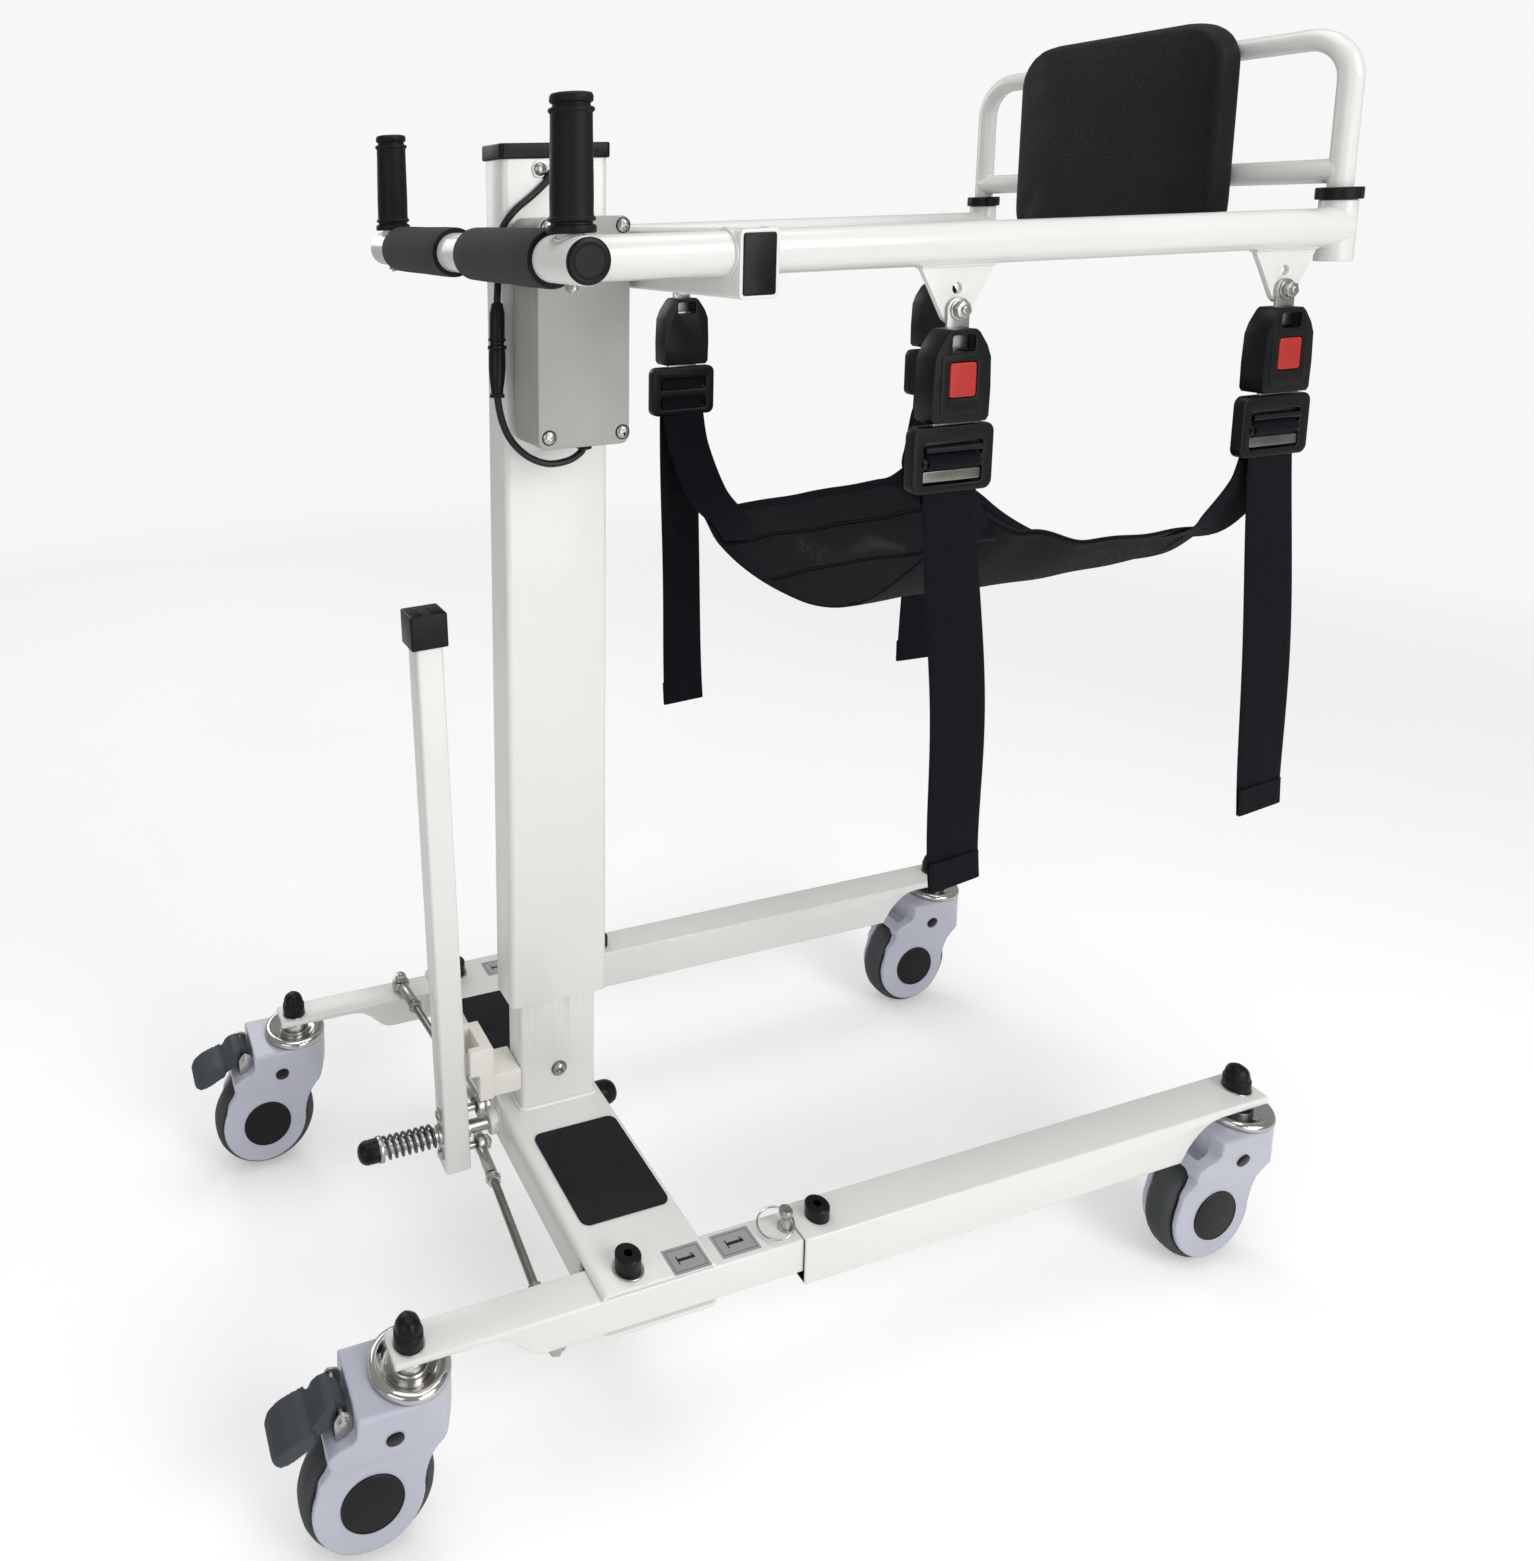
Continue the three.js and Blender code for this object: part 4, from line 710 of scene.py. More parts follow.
def casters():
    disc = []
    for i in range(35):
        a = math.radians(4 - i * 6.1)
        disc.append((-TRAIL - 2.5 + 52 * math.cos(a), 62.5 + 52 * math.sin(a)))
    side = [(-58, 166), (37.4, 166), (37, 150), (34.6, 136), (29.5, 122), (21.5, 107), (13.5, 94), (8.5, 82), (6.5, 73)] + disc + [(-90.5, 98), (-84, 107), (-80.6, 116), (-84, 123.5), (-83.6, 131), (-77, 137), (-64, 142), (-58.5, 148)]
    top = [(37.4 * math.cos(math.radians(a)), 36.4 * math.sin(math.radians(a))) for a in range(-90, 91, 6)] + [(-100, 36.4), (-100, -36.4)]
    wedge = [(-36.6, 170), (-36.2, 158), (-34.2, 144), (-31.2, 130), (-27.4, 115), (-23.8, 103), (-21.9, 93), (-20.9, 4), (20.9, 4), (21.9, 93), (23.8, 103), (27.4, 115), (31.2, 130), (34.2, 144), (36.2, 158), (36.6, 170)]
    x, y = 0.0, 0.0
    hs = smooth_solid("housing_master", prism(side, "y", -40, 40), "housing",
                      cutters=[cyl((-TRAIL, -15.8, 62.5), (-TRAIL, 15.8, 62.5), WR + 3, 64), prism([(-140, 0), (-TRAIL, 0), (-TRAIL, 126), (-140, 126)], "y", -15.8, 15.8), prism([(-TRAIL, 0), (60, 0), (60, 62), (-TRAIL, 62)], "y", -15.8, 15.8),
                               prism([(-74, 131), (-57.5, 131), (-57.5, 180), (-74, 180)], "y", -19, 19)],
                      isect=[prism(wedge, "x", -130, 60), prism(top, "z", 0, 168)], voxel=1.35, it=4)
    ped = [(-60.8, 150), (-61.5, 159.5), (-66, 165.5), (-73, 168.3), (-80.5, 167.6), (-86.5, 163.6), (-90, 157.4), (-94.5, 153.6), (-104, 151.8), (-116, 147.6), (-126.5, 141), (-130.5, 135.5), (-128.6, 130.2), (-122, 128.4), (-111, 132), (-100, 137), (-90, 141.5), (-80, 146), (-70, 149.5)]
    pd = smooth_solid("pedal_master", prism(ped, "y", -22.5, 22.5), "pedal", isect=[prism(rrect(-131, -30, -22.5, 22.5, 11, 8), "z", 100, 190)],
                      cutters=[prism([(-72, 130), (-50, 130), (-50, 175), (-72, 175)], "y", -30, -12), prism([(-72, 130), (-50, 130), (-50, 175), (-72, 175)], "y", 12, 30), prism([(-140, -30), (-93.5, -30), (-91.5, -17.4), (-55, -17.4), (-55, -60), (-140, -60)], "z", 100, 190), prism([(-140, 30), (-93.5, 30), (-91.5, 17.4), (-55, 17.4), (-55, 60), (-140, 60)], "z", 100, 190)],
                      adds=[cyl((-68, -19.5, 157.5), (-68, 19.5, 157.5), 5.5, 32)], voxel=1.5, it=3)
    places = [(e, s, REAR_X if e == "rear" else FRONT_X, k * LEG_Y) for e in ("rear", "front") for s, k in SIDES]
    for e, s, X, Y in places:
        n = e + "_" + s
        rear = e == "rear"
        zu, zt = (STUB_Z1 - 6.5, STUB_Z1) if rear else (SLV_Z1 - 9, SLV_Z1)
        leg = "leg_" + s
        obj("swivel_dish_" + n, lathe([(0, 166.2), (36.0, 166.2), (37.3, 166.9), (37.7, 168.2), (37.6, 170.6), (36.8, 172.4), (35.2, 173.8), (32.4, 174.6), (29.6, 174.0), (26.4, 171.4), (23.6, 169.9), (20, 169.4), (0, 169.4)], (X, Y, 0), n=72), "chrome", leg, reps="caster_stem_" + n, smooth=50)
        obj("stem_spacer_" + n, lathe([(0, 169), (17.5, 169), (17.5, 172.2), (16.6, 173.2), (14.2, 173.6), (14.2, 176.2), (16, 177), (16, zu - 2.4), (15.2, zu - 1.4), (13.2, zu - 1.2), (12.4, zu - 0.2), (0, zu - 0.2)], (X, Y, 0)), "dark_steel" if not rear else "steel", leg)
        obj("stem_washer_" + n, lathe([(0, zt + 0.1), (14.6, zt + 0.1), (15.0, zt + 0.6), (14.6, zt + 1.6), (0, zt + 1.6)], (X, Y, 0)), "steel", leg)
        z0 = zt + 1.6
        dome = [(0, z0), (13.2, z0), (13.6, z0 + 0.8), (13.5, z0 + 11.2), (13.0, z0 + 12)]
        cap = obj("nut_cap_" + n, lathe(dome + [(12.4, z0 + 12.4), (0, z0 + 12.4)], (X, Y, 0)), "black", leg)
        hexa, rows = [], [(12.6, z0 + 12.3), (12.2, z0 + 15.5), (11.3, z0 + 18.8), (9.6, z0 + 21.8), (6.8, z0 + 24.2), (3.4, z0 + 25.6), (0.05, z0 + 25.9)]
        V, F, N = [], [], 48
        for r_, h_ in rows:
            for i in range(N):
                a = 2 * math.pi * i / N
                q = (a + math.pi / 6) % (math.pi / 3) - math.pi / 6
                w = 0.35 * (1.0 / math.cos(q) * 0.93) + 0.65
                V.append((X + r_ * w * math.cos(a), Y + r_ * w * math.sin(a), h_))
        for j in range(len(rows) - 1):
            for i in range(N):
                F.append((j * N + i, j * N + (i + 1) % N, (j + 1) * N + (i + 1) % N, (j + 1) * N + i))
        obj("nut_cap_dome_" + n, (V, F), "black", leg, smooth=40)
        h = D.objects.new("housing_" + n, hs.data)
        SC.collection.objects.link(h)
        h.location = (X / MM, Y / MM, 0)
        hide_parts("caster_housing_" + n)
        c = "caster_" + n
        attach(h, c)
        hx = X - TRAIL
        for t in (1, -1):
            obj("hub_cover_%s_%s" % (n, "l" if t > 0 else "r"), lathe([(0, 0), (29.5, 0), (29.5, 1.2), (28.8, 2.0), (27.8, 1.5), (26.8, 1.6), (10, 2.2), (0, 2.3)], (hx, Y + t * 21.3, 62.5), (0, t, 0), 72), "black", c, smooth=40)
            zz = 134.5
            obj("side_plug_%s_%s" % (n, "l" if t > 0 else "r"), lathe([(0, -2), (8.2, -2), (8.2, 0.9), (7.6, 1.3), (0, 1.5)], (X - 24, Y + t * 32.6, zz), (0, t, -0.22), 40), "black", c, smooth=40)
        obj("axle_" + n, cyl((hx, Y - 20, 62.5), (hx, Y + 20, 62.5), 5, 24), "steel", c)
        ty = [(50, -12.4), (51, -13.4), (56, -13.8), (60, -11.6), (62, -7.4), (62.5, -3), (62.5, 3), (62, 7.4), (60, 11.6), (56, 13.8), (51, 13.4), (50, 12.4)]
        w = "wheel_" + n
        obj("tyre_" + n, lathe(ty, (hx, Y, 62.5), (0, 1, 0), 96), "tyre", w, smooth=50, reps="wheel_" + n)
        obj("hub_" + n, lathe([(5.6, -12), (20, -12), (24, -8), (44, -7), (47, -11.5), (50.2, -12.2), (50.2, 12.2), (47, 11.5), (44, 7), (24, 8), (20, 12), (5.6, 12)], (hx, Y, 62.5), (0, 1, 0), 64), "abs", w, smooth=35)
        if rear:
            q = D.objects.new("pedal_" + n, pd.data)
            SC.collection.objects.link(q)
            q.location = (X / MM, Y / MM, 0)
            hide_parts("brake_pedal_" + n)
            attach(q, "brake_pedal_" + n)
            obj("pedal_pin_" + n, cyl((X - 68, Y - 24.5, 157.5), (X - 68, Y + 24.5, 157.5), 2.9, 24), "steel", "brake_pedal_" + n)
            for t in (1, -1):
                ear = [(X - 74.5, 139), (X - 59, 142), (X - 58.5, 158), (X - 61, 162.6), (X - 66.5, 165), (X - 72, 163.2), (X - 75.5, 158)]
                ya, yb = (Y + t * 20.6, Y + t * 23.0)
                obj("pedal_bracket_%s_%s" % (n, "l" if t > 0 else "r"), prism(ear, "y", min(ya, yb), max(ya, yb)), "steel", c, 0.8, 2)
                nut("pedal_screw_%s_%s" % (n, "l" if t > 0 else "r"), (X - 68, Y + t * 24.2, 157.5), (0, t, 0), 4.2, 2.2, c)
    D.objects.remove(hs)
    D.objects.remove(pd)


# ------------------------------------------------------------------ column and arm frame
def phillips(name, c, body, r=5.0):
    x, y, z = c
    o = obj(name, lathe([(0, 0), (r, 0), (r, 0.6), (r * 0.8, 1.7), (r * 0.4, 2.3), (0, 2.5)], c, (0, -1, 0), 32), "steel")
    L, W = r * 0.62, r * 0.17
    a = random.uniform(0.3, 1.2)
    ca, sa = math.cos(a), math.sin(a)
    cross = []
    for pts in ([(-L, -W), (L, -W), (L, W), (-L, W)], [(-W, -L), (W, -L), (W, L), (-W, L)]):
        cross.append(prism([(x + p * ca - q * sa, z + p * sa + q * ca) for p, q in pts], "y", y - 4, y - 1.0))
    boolean(o, [tool(c_) for c_ in cross])
    finish_shading(o, 35)
    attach(o, body)
    return o


def mast():
    b = "mast"
    carve("outer_column_body", prism(rrect(-COL_A, COL_A, -COL_B, COL_B, 7), "z", COL_Z0, COL_Z1), "frame",
          [prism(rrect(-COL_A + 3, COL_A - 3, -COL_B + 3, COL_B - 3, 4.2), "z", COL_Z0 - 5, COL_Z0 + 700)], b, 0.7, 2, reps="outer_column")
    obj("column_cap_top", prism(rrect(-COL_A - 2, COL_A + 2, -COL_B - 2, COL_B + 2, 4.5), "z", COL_Z1 - 11, COL_Z1 + 4), "black", b, 1.6, 3, reps="column_cap")
    allen("column_screw", (-17, -COL_B - 0.1, 1218), (0, -1, 0), 6.6, b)
    allen("column_screw_left", (-17, COL_B + 0.1, 1218), (0, 1, 0), 6.6, b)
    x0, x1, z0, z1 = lo("control_box", 0), hi("control_box", 0), lo("control_box", 2), hi("control_box", 2)
    yb, yl = -84.0, lo("control_box_lid", 1)
    obj("control_box_shell", [prism(rrect(x0, x1, z0, z1, 9), "y", yb, -COL_B - 9), prism(rrect(x0 + 3, x1 - 3, z0 + 3, z1 - 3, 8), "y", -COL_B - 9.5, -COL_B - 0.3)], "abs", b, 1.8, 3, reps="control_box")
    obj("control_box_gasket", prism(rrect(x0 + 1.4, x1 - 1.4, z0 + 1.4, z1 - 1.4, 8), "y", -84.4, -83.8), "black", b)
    obj("control_box_cover", prism(rrect(x0, x1, z0, z1, 9), "y", yl, -84.3), "abs", b, 1.4, 3, reps="control_box_lid")
    for i, (px, pz) in enumerate(((-38.9, 966.4), (37.7, 966.4), (-38.9, 1162.9), (37.7, 1162.9))):
        # painted shade: a thin black ring under each lid screw paints the dark outline of shade round the screw head
        obj("lid_screw_shade_ring_%d" % i, lathe([(0, 0), (7.4, 0), (7.4, 0.3), (7.0, 0.5), (6.4, 0.3), (0, 0.3)], (px, yl, pz), (0, -1, 0), 40), "black", b, smooth=40)
        phillips("lid_screw_%d" % i, (px, yl - 0.2, pz), b, 6.2)
    obj("cable_gland", [lathe([(4, 0), (9, 0), (9, 3), (7.5, 4), (7.5, 8), (4.5, 9.5), (4, 9.5)], (12, -60, z0 + 0.5), (0, 0, -1), 32)], "black", b, smooth=40)
    path = spline([(-8, -28, 1209), (-26, -29, 1194), (-44, -30, 1181), (-56.5, -29.5, 1167), (-61, -25, 1152), (-61.4, -22, 1136), (-61.8, -24, 1118), (-66, -31, 1092), (-69, -37, 1060), (-72, -43, 1004), (-66, -50, 968), (-50, -56, 946), (-28, -59, 935), (-6, -60, 936), (8, -60, 943), (12, -60, 950)], 10)
    obj("power_lead", sweep(path, 3.5, 16), "cable", b, smooth=70, reps="power_cable")
    allen("lead_exit", (-8, -COL_B - 0.1, 1211), (0, -1, 0), 5.0, b, "black")
    A, B_ = Vector((-66.4, -31.8, 1088)), Vector((-72, -43, 1004))
    d = (B_ - A)
    L = d.length
    obj("lead_connector", [lathe([(3.5, -4), (5.6, -3), (6.4, 2), (7.4, 6), (7.4, 30), (8.6, 31), (8.6, 33), (7.0, 34), (7.0, 37), (9.2, 38), (9.2, 41), (7.6, 42), (8.2, 46), (8.2, 60), (7.2, 72), (6.0, 80), (6.0, 84), (7.2, 85), (7.2, 88), (3.5, 88.5)], A, d, 32)], "black", b, smooth=35)
    # arm frame
    carve("rear_bar", cyl((BAR_X, -BAR_Y, ARM_Z), (BAR_X, BAR_Y, ARM_Z), BAR_R, 72), "frame", [cyl((BAR_X, s * (BAR_Y + 5), ARM_Z), (BAR_X, s * (BAR_Y - 16), ARM_Z), BAR_R - 2.6, 48) for s in (1, -1)], b, 0.7, 2, reps="arm_frame")
    cx0, cx1, cz0, cz1, cy = 57.1, 94.4, 1101.7, 1159.1, 254.1
    carve("cross_tube", prism(rrect(cx0, cx1, cz0, cz1, 4.5), "y", -cy, cy), "frame", [prism(rrect(cx0 + 3, cx1 - 3, cz0 + 3, cz1 - 3, 2.5), "y", s * cy - 14 if s > 0 else -cy - 4, cy + 4 if s > 0 else -cy + 14) for s in (1, -1)], b, 0.6, 2)
    for s, k in SIDES:
        y = k * ARM_Y
        obj("bar_plug_" + s, lathe([(0, 0), (BAR_R - 2.7, 0), (BAR_R - 2.7, 13), (BAR_R - 1.0, 13.2), (BAR_R - 0.8, 15.6), (BAR_R - 2.2, 16.6), (14.6, 16.8), (13.8, 15.9), (12.9, 15.9), (12.4, 16.5), (0, 16.9)], (BAR_X, k * (BAR_Y - 14), ARM_Z), (0, k, 0), 64), "black", b, smooth=40)
        ya, yb2 = (k * (cy - 12), k * (cy + 0.4))
        obj("cross_plug_" + s, prism(rrect(cx0 + 3.1, cx1 - 3.1, cz0 + 3.1, cz1 - 3.1, 2.5), "y", min(ya, yb2), max(ya, yb2)), "black", b, 1.0, 2)
        obj("arm_tube_" + s, cyl((BAR_X, y, ARM_Z), (ARM_X1, y, ARM_Z), ARM_R, 72), "frame", b)
        carve("arm_socket_" + s, cyl((ARM_X1, y, 1106), (ARM_X1, y, 1166), 16, 56), "frame", [cyl((ARM_X1, y, 1100), (ARM_X1, y, 1170), 11.4, 48)], b, 0.7, 2)
        # saddle welds where tubes meet
        def saddle(xc, R, sgn):
            out = []
            for i in range(48):
                a = 2 * math.pi * i / 48
                yy, zz = ARM_R * math.cos(a), ARM_R * math.sin(a)
                out.append((xc + sgn * math.sqrt(max(0.5, R * R - (zz if R > 18 else yy) ** 2)), y + yy * 1.01, ARM_Z + zz * 1.01))
            return out
        bead("arm_bar_weld_" + s, saddle(BAR_X, BAR_R, 1), 1.7, b)
        bead("arm_cross_weld_a_" + s, ringpts((cx0 - 0.2, y, ARM_Z), (1, 0, 0), ARM_R + 0.6, 56), 1.8, b)
        bead("arm_cross_weld_b_" + s, ringpts((cx1 + 0.2, y, ARM_Z), (1, 0, 0), ARM_R + 0.6, 56), 1.8, b)
        sock = []
        for i in range(48):
            a = 2 * math.pi * i / 48
            yy = 15.9 * math.cos(a)
            sock.append((ARM_X1 - math.sqrt(max(0.0, 16.2 ** 2 - yy * yy)), y + yy * 1.02, ARM_Z + ARM_R * 1.005 * math.sin(a)))
        bead("arm_socket_weld_" + s, sock, 1.8, b)
        # upright grips
        gx, gy = BAR_X, k * GRIP_Y
        obj("grip_post_" + s, cyl((gx, gy, ARM_Z + 8), (gx, gy, 1255), 12, 40), "frame", b)
        bead("grip_post_weld_" + s, [(gx + 12.3 * math.cos(a), gy + 12.3 * math.sin(a), ARM_Z + math.sqrt(BAR_R ** 2 - (12.3 * math.cos(a)) ** 2) + 0.3) for a in [2 * math.pi * i / 40 for i in range(40)]], 1.4, b)
        prof = [(0, 1268.6), (12, 1268.5), (15.6, 1267.8), (16.9, 1266.3), (17.2, 1264.6), (17.2, 1261.8), (16.4, 1260.6), (15.2, 1260.2), (14.9, 1258.8), (15.4, 1257.4), (17.4, 1256.9), (18.3, 1255.9), (18.3, 1254.4), (17.4, 1253.2), (16.6, 1252.4), (16.7, 1240), (17.1, 1215), (17.4, 1190), (17.3, 1176), (17.6, 1173.6), (18.9, 1172.6), (19.1, 1171.2), (18.6, 1170.0), (16.8, 1169.2), (16.6, 1168.2), (17.0, 1167.3), (19.2, 1166.5), (19.7, 1165), (19.7, 1161.6), (19.0, 1160.4), (12.2, 1160.3)]
        obj("upright_grip_" + s, lathe(prof, (gx, gy, 0), n=72), "rubber", b, smooth=45, reps="hand_grip_" + s)
        nut("grip_bolt_" + s, (gx, gy, ARM_Z - BAR_R - 0.2), (0, 0, -1), 5.6, 4.5, b, stud=2.6)
        # foam sleeve with darker cut ends
        a0, a1 = k * 30, k * 206
        R0, R1 = BAR_R + 0.15, 25.0
        obj("foam_sleeve_" + s, lathe([(R0, 0), (R1 - 2.2, 0), (R1 - 0.7, 0.7), (R1, 2.2), (R1 + 0.25, 30), (R1, 88), (R1 + 0.3, 140), (R1, 173.8), (R1 - 0.7, 175.3), (R1 - 2.2, 176), (R0, 176)], (BAR_X, a0, ARM_Z), (0, k, 0), 80), "foam", b, smooth=60, reps="foam_grip_" + s)
        for q, yy in enumerate((a0, a1)):
            sg = -k if q == 0 else k
            obj("foam_end_%s_%d" % (s, q), lathe([(R0, 0.05), (R1 - 1.2, 0.05), (R1 - 1.0, 0.4), (R0, 0.5)], (BAR_X, yy, ARM_Z), (0, sg, 0), 72), "rubber", b, smooth=40)
        for hx, e in zip(HANG, ("rear", "front")):
            tab = [(hx - 40, 1132), (hx - 40, 1120.5), (hx - 37.5, 1116), (hx - 27, 1098), (hx - 16.5, 1079), (hx - 13, 1073), (hx - 8, 1069), (hx, 1067.4), (hx + 8, 1069), (hx + 13, 1073), (hx + 16.5, 1079), (hx + 27, 1098), (hx + 37.5, 1116), (hx + 40, 1120.5), (hx + 40, 1132)]
            carve("hanger_tab_%s_%s" % (e, s), prism(tab, "y", y - 2.5, y + 2.5), "frame", [cyl((hx, y - 9, HOLE_Z), (hx, y + 9, HOLE_Z), 5.4, 32), cyl((hx, y - 9, BOLT_Z), (hx, y + 9, BOLT_Z), 4.6, 24)], b, 0.8, 2)
            for t in (1, -1):
                zz = ARM_Z - math.sqrt(ARM_R ** 2 - 3.2 ** 2)
                bead("tab_weld_%s_%s_%d" % (e, s, t), [(hx - 40 + 80 * i / 26, y + t * 3.3, zz - 0.4) for i in range(27)], 1.5, b, closed=False)


# ------------------------------------------------------------------ backrest
def backrest():
    b, x, r = "backrest", ARM_X1, 10.8
    top, low, bend, y = 1323.5, 1194.3, 42, ARM_Y
    pts = [(x, -y, 1112), (x, -y, 1200)] + [(x, -(y - bend) + bend * math.cos(a), top - bend + bend * math.sin(a)) for a in [math.pi - math.pi / 2 * i / 16 for i in range(17)]]
    pts += [(x, (y - bend) + bend * math.cos(a), top - bend + bend * math.sin(a)) for a in [math.pi / 2 - math.pi / 2 * i / 16 for i in range(17)]] + [(x, y, 1200), (x, y, 1112)]
    obj("backrest_tube", sweep(pts, r, 40), "frame", b, smooth=70, reps="backrest_frame")
    obj("backrest_low_tube", cyl((x, -y, low), (x, y, low), 12.0, 44), "frame", b)
    for s, k in SIDES:
        bead("low_tube_weld_" + s, [(x + 9.4 * math.cos(a), k * (y - 0.2 - math.sqrt(max(0.2, r * r - (9.6 * math.cos(a)) ** 2))), low + 12.0 * math.sin(a)) for a in [2 * math.pi * i / 36 for i in range(36)]], 1.3, b)
        obj("collar_" + s, lathe([(10.9, 0), (18.6, 0), (19.6, 1.0), (19.6, 11), (18.6, 12), (10.9, 12)], (x, k * y, 1166.4), n=56), "black", b, smooth=35)
        obj("collar_gap_" + s, lathe([(11, 0), (15.2, 0), (15.2, 1.2), (11, 1.2)], (x, k * y, 1165.5), n=40), "black", b)
    pad(b)


def pad(b):
    x0, x1 = lo("backrest_pad", 0), hi("backrest_pad", 0)
    Y, z0, z1, R = hi("backrest_pad", 1), lo("backrest_pad", 2), hi("backrest_pad", 2), 46
    o = obj("backrest_cushion", prism(rrect(-Y + 3, Y - 3, z0 + 3, z1 - 3, R, 12), "x", x0 + 3.5, x1 - 2), "leather", None, 8.0, 5)
    rm = o.modifiers.new("r", "REMESH")
    rm.mode, rm.voxel_size = "VOXEL", 0.005
    apply(o)
    me = o.data
    vg = o.vertex_groups.new(name="pin")
    back = [v.index for v in me.vertices if v.co.x * MM - OX > x0 + 10]
    vg.add(back, 1.0, "REPLACE")
    c = o.modifiers.new("cloth", "CLOTH")
    c.settings.use_pressure = True
    c.settings.uniform_pressure_force = 4.0
    c.settings.quality = 5
    c.settings.mass = 0.3
    c.settings.tension_stiffness = c.settings.compression_stiffness = 60
    c.settings.shear_stiffness = 40
    c.settings.bending_stiffness = 14
    c.settings.vertex_group_mass = "pin"
    c.settings.effector_weights.gravity = 0
    c.collision_settings.use_collision = False
    c.point_cache.frame_start, c.point_cache.frame_end = 1, 20
    for f in range(1, 21):
        SC.frame_set(f)
    apply(o)
    SC.frame_set(1)
    # keep the crown within a few millimetres of the board's own depth
    for v in o.data.vertices:
        X = v.co.x * MM - OX
        v.co.x = (max(x0 - 6.0, min(x1 - 0.2, X)) + OX) / MM
        v.co.y = max(-(Y + 2.5), min(Y + 2.5, v.co.y * MM)) / MM
        v.co.z = max(z0 - 2.5, min(z1 + 2.5, v.co.z * MM)) / MM
    sm = o.modifiers.new("s", "SMOOTH")
    sm.factor, sm.iterations = 0.5, 7
    sd = o.modifiers.new("d", "SUBSURF")
    sd.levels = sd.render_levels = 1
    apply(o)
    finish_shading(o, 80)
    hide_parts("backrest_pad")
    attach(o, b)
    # outline points along the line where the front panel meets the side; no welt is built from them
    w = [(x0 + 3.2, q[0], q[1]) for q in rrect(-Y + 1.2, Y - 1.2, z0 + 1.2, z1 - 1.2, R, 16)]
    # fixing plates behind
    for i, zz in enumerate((1194.3, 1316.0)):
        for k in (-1, 1):
            obj("pad_clip_%d_%s" % (i, "l" if k > 0 else "r"), prism(rrect(k * 80 - 11, k * 80 + 11, zz - 14, zz + 14, 3, 3), "x", x1 - 0.2, x1 + 1.2), "steel", b, 0.4, 2)


# ------------------------------------------------------------------ hangers
def strip(name, pts, width, thick, mat, body, nrm=None, across=None, sway=None, edge=True):
    """A strap: pts is its middle line, across the direction of its width at each point (mm)."""
    n = len(pts)
    P = [Vector(p) for p in pts]
    V, F, UV = [], [], []
    cols = [-0.5, -0.46, -0.40, -0.2, 0.0, 0.2, 0.40, 0.46, 0.5]
    tk = [0.35, 0.8, 1, 1, 1, 1, 1, 0.8, 0.35]
    s = 0.0
    L = [0.0]
    for i in range(1, n):
        s += (P[i] - P[i - 1]).length
        L.append(s)
    m = len(cols)
    for i in range(n):
        T = (P[min(n - 1, i + 1)] - P[max(0, i - 1)]).normalized()
        A = Vector(across(i / (n - 1)) if callable(across) else across)
        A = (A - T * A.dot(T)).normalized()
        N = T.cross(A).normalized()
        w = width(i / (n - 1)) if callable(width) else width
        for side in (1, -1):
            for c, t in zip(cols, tk):
                V.append(tuple(P[i] + A * w * c + N * side * thick * t / 2))
                UV.append((w * c / MM, L[i] / MM))
    for i in range(n - 1):
        a, b = i * 2 * m, (i + 1) * 2 * m
        for j in range(m - 1):
            F.append((a + j, a + j + 1, b + j + 1, b + j))
            F.append((a + m + j, b + m + j, b + m + j + 1, a + m + j + 1))
        F.append((a, b, b + m, a + m))
        F.append((a + m - 1, a + 2 * m - 1, b + 2 * m - 1, b + m - 1))
    for i in (0, n - 1):
        a = i * 2 * m
        F.append(tuple([a + j for j in range(m)] + [a + m + j for j in range(m)][::-1]))
    return obj_uv(name, V, F, UV, mat, body)


def obj_uv(name, V, F, UV, mat, body, smooth=60):
    me = D.meshes.new(name)
    me.from_pydata([((x + OX) / MM, y / MM, z / MM) for x, y, z in V], [], F)
    uv = me.uv_layers.new(name="UVMap")
    for l in me.loops:
        uv.data[l.index].uv = UV[l.vertex_index]
    bm = bmesh.new()
    bm.from_mesh(me)
    bmesh.ops.recalc_face_normals(bm, faces=bm.faces)
    bm.to_mesh(me)
    bm.free()
    me.materials.append(M[mat])
    o = D.objects.new(name, me)
    SC.collection.objects.link(o)
    finish_shading(o, smooth)
    if body:
        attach(o, body)
    return o


